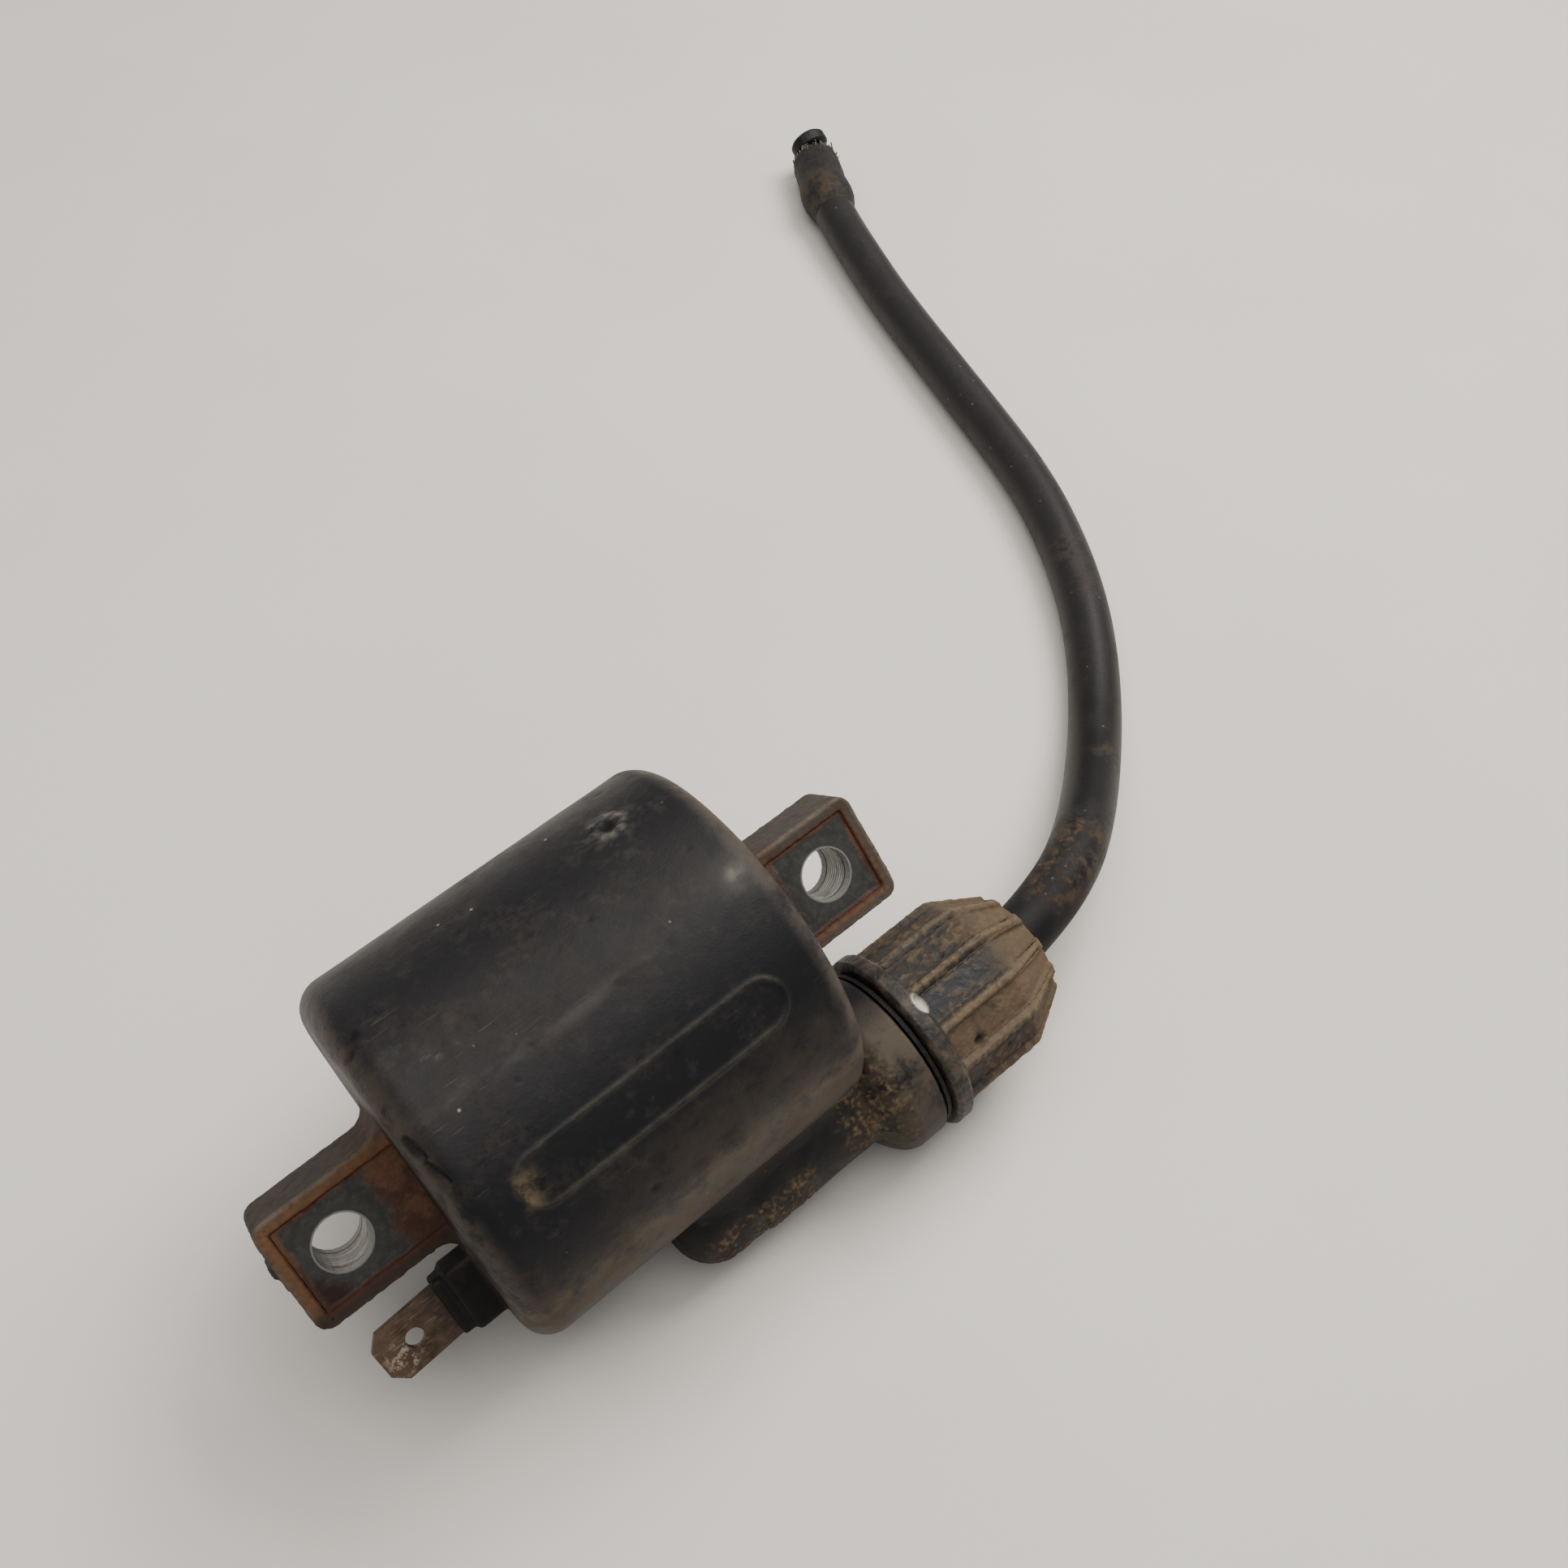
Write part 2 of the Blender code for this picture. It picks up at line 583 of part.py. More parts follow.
def make_cap(tower, material):
    base, shoulder, front = CAP_Z
    flange_top = base + 2.35
    profile = [(CAP_FRONT_RADIUS - 0.75, front), (CAP_PANEL_RADIUS, shoulder), (CAP_PANEL_RADIUS, flange_top + 0.2)]
    profile += [(CAP_FLANGE_RADIUS - 0.4, flange_top), (CAP_FLANGE_RADIUS, flange_top - 0.4)]
    profile += [(CAP_FLANGE_RADIUS, base + 0.4), (CAP_FLANGE_RADIUS - 0.4, base), (CAP_BORE, base)]
    profile += [(CAP_BORE, front - 3.75), (CAP_FRONT_BORE, front - 3.75), (CAP_FRONT_BORE, front)]
    cap = turned("screw_cap", profile, tower, material, 48)
    rib = [(9.2, flange_top - 0.6), (CAP_RIB_RADIUS, flange_top - 0.6), (CAP_RIB_RADIUS, shoulder - 0.1)]
    rib += [(CAP_FRONT_RADIUS, front - 0.1), (6.2, front - 0.1), (8.4, front - 3.6), (9.2, shoulder)]
    ribs = []
    for index in range(CAP_RIBS):
        turn = Matrix.Rotation(2 * math.pi * (index + CAP_RIB_TURN) / CAP_RIBS, 4, "Z")
        ribs.append(plate(f"rib_{index + 1}", [rib], CAP_RIB_WIDTH, turn @ UPRIGHT, tower))
    combine(cap, ribs, "UNION")
    bake(cap)


def make_lead(tower, rubber, old_rubber):
    straight = [tower.matrix_world @ Vector((0.0, 0.0, z * MM)) / MM for z in LEAD_STRAIGHT_Z]
    route = smooth_route([*straight, *LEAD_ROUTE], LEAD_SPACING)
    wire("ht_lead", route, LEAD_RADIUS, None, rubber, 4)
    end = route[-1]
    towards = (Vector(LEAD_ROUTE[-1]) - Vector(LEAD_ROUTE[-2])).normalized()
    turn = towards.to_track_quat("Z", "Y").to_euler()
    axis = add_empty("lead_end_axis", None, end, turn)
    rim, back = -SLEEVE_RIM, -SLEEVE_RIM - SLEEVE_LENGTH
    tube = [(SLEEVE_RADIUS - 0.25, rim), (SLEEVE_RADIUS - 0.1, rim - 6.0), (SLEEVE_RADIUS, back + 4.0)]
    tube += [(SLEEVE_BORE + 0.3, back), (SLEEVE_BORE, back), (SLEEVE_BORE, rim)]
    turned("lead_end_sleeve", tube, axis, old_rubber, 24)
    tilt = add_empty("lead_end_tilt", axis, (PLUG_SHIFT, 0.0, 0.0), (*PLUG_TILT, 0.0))
    neck, low, base = PLUG_NECK
    top = base + PLUG_THICKNESS
    plug = [(0.0, top), (PLUG_RADIUS - 0.5, top), (PLUG_RADIUS, top - 0.5), (PLUG_RADIUS, base + 0.5)]
    plug += [(PLUG_RADIUS - 0.5, base), (neck, base), (neck, low), (0.0, low)]
    turned("lead_end_plug", plug, tilt, rubber, 24)


for old in list(bpy.data.objects):
    bpy.data.objects.remove(old)

parts = bpy.data.collections.new("ignition_coil")
cutters = bpy.data.collections.new("cutters")
bpy.context.scene.collection.children.link(parts)
bpy.context.scene.collection.children.link(cutters)

UPRIGHT = Matrix.Rotation(math.pi / 2, 4, "X")

case_black = paint("case_black", (0.035, 0.035, 0.038), 0.42, 0.0)
cap_black = paint("cap_black", (0.11, 0.085, 0.06), 0.75, 0.0)
core_steel = paint("core_steel", (0.16, 0.15, 0.14), 0.5, 0.8)
zinc_steel = paint("zinc_steel", (0.45, 0.45, 0.44), 0.4, 0.9)
tab_brass = paint("tab_brass", (0.26, 0.2, 0.13), 0.5, 0.7)
contact_brass = paint("contact_brass", (0.6, 0.45, 0.2), 0.35, 1.0)
wire_copper = paint("wire_copper", (0.65, 0.28, 0.14), 0.35, 1.0)
winding_enamel = paint("winding_enamel", (0.4, 0.14, 0.05), 0.4, 0.6)
bobbin_plastic = paint("bobbin_plastic", (0.55, 0.5, 0.42), 0.5, 0.0)
sleeve_paper = paint("sleeve_paper", (0.6, 0.5, 0.32), 0.8, 0.0)
potting_resin = paint("potting_resin", (0.1, 0.07, 0.05), 0.3, 0.0)
seal_rubber = paint("seal_rubber", (0.03, 0.028, 0.025), 0.8, 0.0)
lead_rubber = paint("lead_rubber", (0.04, 0.037, 0.034), 0.6, 0.0)
old_rubber = paint("old_rubber", (0.12, 0.085, 0.055), 0.85, 0.0)

# The lugs' frame: X across the lug, Y along its normal and Z along the core
lay = Matrix.Rotation(HEADING, 3, "Z") @ Matrix.Rotation(-PITCH, 3, "Y") @ Matrix.Rotation(ROLL, 3, "X")
axes = Matrix(((0, 0, 1), (1, 0, 0), (0, 1, 0)))
coil_axis = add_empty("coil_axis", None, CORE_CENTRE, (lay @ axes).to_euler())
tower_axis = add_empty("tower_axis", coil_axis, (-TOWER_OFFSET, 0.0, 0.0))

make_case(coil_axis, tower_axis, case_black)
make_core(coil_axis, core_steel, zinc_steel)
make_windings(coil_axis, bobbin_plastic, wire_copper, winding_enamel, sleeve_paper, potting_resin)
make_terminal(coil_axis, tab_brass)
make_wires(coil_axis, wire_copper)
make_tower_fittings(tower_axis, contact_brass, seal_rubber, zinc_steel)
make_cap(tower_axis, cap_black)
make_lead(tower_axis, lead_rubber, old_rubber)
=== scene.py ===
"""Looks of a motorcycle ignition coil: aged mouldings, rusted steel, a tarnished blade and a dirty lead.

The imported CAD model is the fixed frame. Lengths here are in millimetres; the helpers turn them into metres.
In the coil's own frame, Z runs along the core towards the cap, X points away from the lead tower and Y is
the normal of the lugs. Angles are in degrees about Z, from X towards Y.
"""

import math

import bmesh
import bpy
import numpy as np
from mathutils import Matrix, Vector
from mathutils.noise import fractal

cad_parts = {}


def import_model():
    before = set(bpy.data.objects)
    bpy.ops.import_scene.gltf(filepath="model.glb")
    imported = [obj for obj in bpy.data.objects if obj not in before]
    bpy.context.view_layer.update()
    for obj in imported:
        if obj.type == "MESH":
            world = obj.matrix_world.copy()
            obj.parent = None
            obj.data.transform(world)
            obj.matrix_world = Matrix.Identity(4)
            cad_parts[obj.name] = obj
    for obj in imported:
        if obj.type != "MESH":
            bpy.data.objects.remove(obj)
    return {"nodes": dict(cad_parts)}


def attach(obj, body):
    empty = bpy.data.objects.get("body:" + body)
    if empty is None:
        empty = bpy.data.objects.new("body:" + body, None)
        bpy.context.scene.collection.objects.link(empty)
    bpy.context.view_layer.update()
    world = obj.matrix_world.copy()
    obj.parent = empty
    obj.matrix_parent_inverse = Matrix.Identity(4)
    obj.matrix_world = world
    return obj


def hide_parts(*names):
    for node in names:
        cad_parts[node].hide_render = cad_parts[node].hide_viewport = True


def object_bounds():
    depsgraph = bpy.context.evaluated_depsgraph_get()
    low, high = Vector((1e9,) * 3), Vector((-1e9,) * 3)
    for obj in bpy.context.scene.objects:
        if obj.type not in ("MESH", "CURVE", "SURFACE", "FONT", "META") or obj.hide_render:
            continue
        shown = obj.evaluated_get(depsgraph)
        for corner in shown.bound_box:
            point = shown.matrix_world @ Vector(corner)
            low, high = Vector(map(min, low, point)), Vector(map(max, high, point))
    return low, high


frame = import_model()
cad_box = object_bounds()

MM = 0.001
SEED = 7

# How the coil lies
HEADING = math.radians(42.51)
PITCH = math.radians(6.93)
ROLL = math.radians(45.62)
CORE_CENTRE = Vector((-10.34, 1.08, 24.65))
TOWER_OFFSET = 23.4

# Main sizes, as on the CAD parts
BODY_Z = (-22.8, 22.0)
BODY_RADIUS = (22.3, 21.95)
BODY_ROUND = (3.6, 2.8)
TOWER_RADIUS = 6.95
TOWER_SPAN = (0.5, 19.8)
COLLAR_RADIUS = 10.97
COLLAR_SPAN = (24.5, 28.0)
LUG_INNER_X = 5.5
LUG_INNER_Z = 37.4
LUG_JOINT = 0.3
LUG_GAP = 0.27
HOLE_PITCH = 64.0
CAP_FLANGE_RADIUS = 11.69
CAP_FLANGE_SPAN = (29.85, 31.5)
CAP_PANEL_RADIUS = 10.15
CAP_PANEL_SPAN = (32.4, 43.0)
CAP_RIB_RADIUS = 10.94
CAP_SHOULDER_Z = 43.1
CAP_Z_FRONT = 49.55
CAP_CONE_DROP = 3.57
CAP_RIBS = 12
CAP_RIB_TURN = 0.53

# A rib's flank on the CAD cap and here, in shares of the pitch of the ribs, measured back from its middle
CAP_FLANK_WAS = (-0.16, -0.12)
CAP_FLANK = (-0.2, -0.03)

# Radii between which the inside of the cap, and of the sleeve, ends and its outside begins
CAP_OUTSIDE = (8.4, 8.9)
SLEEVE_OUTSIDE = (4.2, 4.4)

# Plain bodies that fill the hollows of the case while it is shaped, as (radius, low end, high end)
CASE_FILLER = (20.6, -20.8, 19.9)
TOWER_FILLER = (7.3, 5.0, 39.6)

# Two nubs on the end of the near lug, as opposite corners
NUBS = (
    ((0.2, -2.2, -39.3), (1.6, 1.8, -38.0)),
    ((-1.8, -2.2, -39.0), (0.5, 1.4, -38.0)),
)

# The lead: its radius, the straight start inside the tower and the route it lies along. The last points,
# inside the sleeve, aren't smoothed.
LEAD_RADIUS = 3.8
LEAD_SPACING = 1.5
SMOOTHING = 24
IN_SLEEVE = 18
LEAD_STRAIGHT_Z = (24.2, 30.0, 36.0, 42.0, 47.0)
LEAD_ROUTE = (
    (44.8, 33.0, 14.1),
    (47.5, 40.0, 12.6),
    (49.8, 48.3, 9.7),
    (52.1, 59.9, 6.0),
    (53.5, 70.6, 4.2),
    (53.9, 78.8, 3.95),
    (53.7, 87.8, 3.95),
    (52.5, 98.1, 3.95),
    (50.1, 108.9, 3.95),
    (46.4, 120.3, 3.95),
    (41.2, 131.6, 3.95),
    (35.7, 142.6, 3.95),
    (29.6, 154.8, 3.95),
    (23.3, 167.7, 3.95),
    (17.4, 181.0, 4.4),
    (12.9, 192.2, 4.85),
    (10.6, 201.0, 4.95),
    (8.3, 209.8, 4.95),
)

# The case's blank oval panel and mould seam
OVAL_ANGLE = 90.75
OVAL_Z = -0.5
OVAL_HALF_LENGTH = 13.2
OVAL_RADIUS = 2.8
SEAM_ANGLE = 56.0

# Marks on the case, each placed by its angle and z and measured at one radius: a ringed pock, a painted
# highlight on the rim, a scratch, knocks as (angle, z, radius, depth) and gouges as (start, end, width,
# depth)
MARK_RADIUS = 22.1
POCK = (22.0, 12.6)
POCK_RING = 1.6
RIM_HIGHLIGHT = (58.5, 18.5)
LEFT_SCRATCH = (50.4, -15.0)
KNOCKS = (
    (31.7, -20.2, 0.6, 0.22),
    (44.9, 4.3, 0.3, 0.12),
    (62.7, -7.8, 0.3, 0.1),
    (67.9, -10.7, 0.25, 0.1),
    (60.0, 18.6, 0.9, 0.1),
    (35.5, -21.3, 0.5, 0.2),
)
GOUGES = (
    ((62.0, -22.0), (69.0, -21.5), 0.5, 0.42),
    ((70.5, -21.7), (77.0, -21.0), 0.45, 0.38),
)
DENTS = 46

# Marks on the cap: pits as (angle, z, radius, depth), and a chip in the flange
CAP_PITS = ((98.6, 35.5, 0.55, 0.6), (37.5, 38.2, 0.4, 0.3), (120.0, 39.0, 0.35, 0.25))
CHIP_ANGLE = 55.0
CHIP_Z = 31.95
CHIP_RADIUS = 11.5
CHIP_HALF_SIZE = (1.55, 0.85)

# Rust in a corner of the near lug's steel, and the blade's crust and broken edge
RUSTED_CORNER = (-3.9, 3.7, -36.2)
BLADE_CRUST = (-14.1, 3.6, -33.9)
BLADE_EDGE = 0.11

# Mud on the lead, as (world place, reach, amount)
LEAD_DIRT = (
    ((43.0, 32.0, 17.5), 7.0, 0.8),
    ((46.5, 38.5, 16.5), 7.5, 1.0),
    ((53.5, 58.0, 9.5), 3.5, 0.5),
    ((54.5, 94.0, 7.5), 5.0, 0.3),
    ((52.0, 101.0, 7.5), 6.0, 0.35),
)

# The sleeve: a stain, at a world place, and its taper to the lead, as (depth, low end, high end)
SLEEVE_STAIN = (9.0, 195.0, 8.5)
SLEEVE_TAPER = (0.62, -18.7, -13.0)

# The frayed braid at the lead's end
STRANDS = 46
STRAND_RADIUS = 0.26
STRAND_START = -1.6
STRAND_STEPS = 4

# The camera
CAMERA_PLACE = (9.295, -88.62, 183.82)
CAMERA_RIGHT = (0.99839, 0.04436, 0.03533)
CAMERA_UP = (-0.05671, 0.7810, 0.6220)
CAMERA_LENS = 38.23
CAMERA_SENSOR = 36.0

# The stage: lights as (name, place, target, size in metres, watts, colour)
FLOOR_HALF_SIZE = 3.0
FLOOR_COLOUR = (0.655, 0.62, 0.575)
FLOOR_SHADE = (0.6, 0.565, 0.52)
ROOM_COLOUR = (0.98, 0.98, 1.0)
ROOM_LIGHT = 0.34
LIGHTS = (
    ("key", (260, 330, 520), (10, 40, 0), (0.42, 0.3), 4.8, (1.0, 0.97, 0.93)),
    ("overhead", (-60, -50, 620), (-10, 10, 0), (0.6, 0.6), 3.6, (1.0, 0.98, 0.96)),
)

LAY = Matrix.Rotation(HEADING, 3, "Z") @ Matrix.Rotation(-PITCH, 3, "Y") @ Matrix.Rotation(ROLL, 3, "X")
COIL_TURN = LAY @ Matrix(((0, 0, 1), (1, 0, 0), (0, 1, 0)))
TOWER_PLACE = CORE_CENTRE - COIL_TURN.col[0] * TOWER_OFFSET


def world(point, place=CORE_CENTRE):
    """A point in the coil's frame, in millimetres, as a world point in metres."""
    return (place + COIL_TURN @ Vector(point)) * MM


# Materials


def shade(red, green, blue):
    """An 8-bit display colour as a linear one."""
    return tuple(
        ((value / 255 + 0.055) / 1.055) ** 2.4 if value > 10 else value / 3295 for value in (red, green, blue)
    )


class Paint:
    """One procedural material. Its masks are read in millimetres in the coil's frame, about a given axis."""

    def __init__(self, name, place=CORE_CENTRE):
        self.material = bpy.data.materials.new(name)
        self.material.use_nodes = True
        self.tree = self.material.node_tree
        self.shader = self.tree.nodes["Principled BSDF"]
        turn = self.add("ShaderNodeMapping")
        turn.vector_type = "TEXTURE"
        turn.inputs["Location"].default_value = Vector(place) * MM
        turn.inputs["Rotation"].default_value = COIL_TURN.to_euler()
        self.join(self.add("ShaderNodeTexCoord").outputs["Object"], turn.inputs["Vector"])
        self.point = self.vector("SCALE", turn.outputs["Vector"], scale=1.0 / MM)
        split = self.add("ShaderNodeSeparateXYZ")
        self.join(self.point, split.inputs["Vector"])
        self.x, self.y, self.z = split.outputs

    def add(self, kind):
        return self.tree.nodes.new(kind)

    def join(self, value, socket):
        """Links an output to a socket, or sets a plain value there."""
        if isinstance(value, bpy.types.NodeSocket):
            self.tree.links.new(value, socket)
        elif isinstance(value, tuple) and socket.type == "RGBA":
            socket.default_value = (*value, 1.0)
        else:
            socket.default_value = value

    def vector(self, operation, value, other=(0.0, 0.0, 0.0), scale=1.0):
        node = self.add("ShaderNodeVectorMath")
        node.operation = operation
        self.join(value, node.inputs[0])
        if operation == "SCALE":
            self.join(scale, node.inputs[3])
        else:
            self.join(other, node.inputs[1])
        return node.outputs["Value" if operation == "DISTANCE" else "Vector"]

    def calc(self, operation, first, second=0.0):
        node = self.add("ShaderNodeMath")
        node.operation = operation
        self.join(first, node.inputs[0])
        self.join(second, node.inputs[1])
        return node.outputs[0]

    def absolute(self, value):
        return self.calc("ABSOLUTE", value)

    def larger(self, first, second):
        return self.calc("MAXIMUM", first, second)

    def invert(self, value):
        return self.calc("SUBTRACT", 1.0, value)

    def reach(self, first, second):
        """The distance that two lengths at right angles make."""
        return self.calc("SQRT", self.plus(self.times(first, first), self.times(second, second)))

    def times(self, *values):
        found = values[0]
        for value in values[1:]:
            found = self.calc("MULTIPLY", found, value)
        return found

    def plus(self, *values):
        found = values[0]
        for value in values[1:]:
            found = self.calc("ADD", found, value)
        return found

    def ramp(self, value, low, high, start=0.0, end=1.0):
        """start below low and end above high, smooth between. low may be the larger of the two."""
        node = self.add("ShaderNodeMapRange")
        node.interpolation_type = "SMOOTHSTEP"
        if low > high:
            low, high, start, end = high, low, end, start
        given = {"Value": value, "From Min": low, "From Max": high, "To Min": start, "To Max": end}
        for name, number in given.items():
            self.join(number, node.inputs[name])
        return node.outputs["Result"]

    def between(self, value, low, high, soft):
        """1 from low to high and 0 beyond, with edges that are 2 * soft wide."""
        return self.times(
            self.ramp(value, low - soft, low + soft), self.ramp(value, high + soft, high - soft)
        )

    def noise(self, size, detail=4.0, rough=0.6, stretch=(1.0, 1.0, 1.0), shift=0.0, distort=0.0):
        """Fractal noise about 0.5, with features of `size` millimetres, longer where stretch is small."""
        moved = self.vector("MULTIPLY", self.point, stretch)
        moved = self.vector("ADD", moved, (shift, 2.0 * shift, -shift))
        node = self.add("ShaderNodeTexNoise")
        self.join(moved, node.inputs["Vector"])
        node.inputs["Scale"].default_value = 1.0 / size
        node.inputs["Detail"].default_value = detail
        node.inputs["Roughness"].default_value = rough
        node.inputs["Distortion"].default_value = distort
        return node.outputs["Fac"]

    def cells(self, size, shift=0.0):
        """Distance from the nearest of scattered points, in units of `size`."""
        node = self.add("ShaderNodeTexVoronoi")
        self.join(self.vector("ADD", self.point, (shift, shift, shift)), node.inputs["Vector"])
        node.inputs["Scale"].default_value = 1.0 / size
        return node.outputs["Distance"]

    def kept(self, name):
        """A number that the shaping kept on the object's points."""
        node = self.add("ShaderNodeAttribute")
        node.attribute_name = name
        return node.outputs["Fac"]

    def mix(self, share, under, over):
        node = self.add("ShaderNodeMix")
        node.data_type = "RGBA"
        self.join(share, node.inputs[0])
        self.join(under, node.inputs[6])
        self.join(over, node.inputs[7])
        return node.outputs[2]

    def colour(self, base, *layers):
        """Each layer is (mask, strength, colour), laid over what is below it."""
        for mask, strength, over in layers:
            base = self.mix(self.times(mask, strength), base, over)
        self.join(base, self.shader.inputs["Base Color"])

    def relief(self, *layers):
        """Each layer is (height, depth in millimetres)."""
        normal = None
        for height, depth in layers:
            node = self.add("ShaderNodeBump")
            node.inputs["Distance"].default_value = depth * MM
            self.join(height, node.inputs["Height"])
            if normal is not None:
                self.join(normal, node.inputs["Normal"])
            normal = node.outputs["Normal"]
        self.join(normal, self.shader.inputs["Normal"])

    def finish(self, roughness, metallic=0.0, specular=0.5):
        self.join(roughness, self.shader.inputs["Roughness"])
        self.join(metallic, self.shader.inputs["Metallic"])
        self.shader.inputs["Specular IOR Level"].default_value = specular
        return self.material


def angle_of(paint):
    """Degrees about the paint's axis."""
    return paint.times(paint.calc("ARCTAN2", paint.y, paint.x), 180 / math.pi)


def lug_layers(paint, patch, fine):
    """A mask of the lugs, and their layers: dust, worn rims and rust on the frames and in the joints."""
    far = paint.absolute(paint.z)
    beside = paint.absolute(paint.x)
    height = paint.absolute(paint.y)
    near_end = paint.ramp(paint.z, 1.0, -1.0)
    far_end = paint.ramp(paint.z, -1.0, 1.0)
    boss = paint.times(paint.ramp(paint.z, -22.6, -23.2), paint.ramp(paint.x, -8.2, -8.8))
    on_lug = paint.times(paint.ramp(far, 22.3, 23.0), paint.ramp(beside, 9.2, 8.6))
    on_lug = paint.times(on_lug, paint.ramp(height, 5.2, 4.5), paint.invert(boss))
    top = paint.times(paint.ramp(height, 3.6, 3.95), on_lug)
    out_x = paint.calc("SUBTRACT", beside, LUG_INNER_X - LUG_JOINT)
    out_z = paint.calc("SUBTRACT", far, LUG_INNER_Z - LUG_JOINT)
    out = paint.larger(out_x, out_z)
    rim = paint.times(on_lug, paint.ramp(height, 3.3, 3.7), paint.ramp(out, 0.9, 1.4))
    rim = paint.times(rim, paint.ramp(fine, 0.3, 0.6))
    to_body = paint.ramp(paint.plus(far, paint.times(patch, 8.0)), 34.0, 27.0)
    root_rust = paint.times(on_lug, to_body, paint.ramp(fine, 0.34, 0.6))
    spread = paint.plus(out, paint.times(patch, 1.6), paint.ramp(paint.z, -1.0, 1.0, -0.6, 0.0))
    by_side = paint.plus(
        paint.times(near_end, paint.ramp(paint.x, -5.9, -3.6, 0.1, 1.0)),
        paint.times(far_end, paint.ramp(paint.x, 5.9, 3.6, 0.3, 0.8)),
    )
    rust = paint.times(top, paint.ramp(spread, 1.95, 0.85), by_side)
    rust = paint.times(rust, paint.ramp(fine, 0.25, 0.55, 0.45, 0.85))
    dark = paint.times(top, near_end, paint.ramp(paint.x, -3.6, -5.6))
    joint = paint.times(top, paint.ramp(out, 0.4, 0.1), paint.ramp(fine, 0.3, 0.6, 0.5, 0.85))
    return on_lug, (
        (on_lug, 0.9, paint.mix(patch, shade(38, 35, 33), shade(82, 74, 66))),
        (rim, 0.6, shade(104, 92, 78)),
        (root_rust, 0.5, shade(84, 56, 38)),
        (rust, 1.0, paint.mix(fine, shade(70, 47, 31), shade(122, 88, 59))),
        (dark, 0.7, shade(44, 32, 26)),
        (joint, 1.0, shade(70, 33, 21)),
        (boss, 0.85, paint.mix(patch, shade(12, 12, 13), shade(30, 28, 27))),
    )


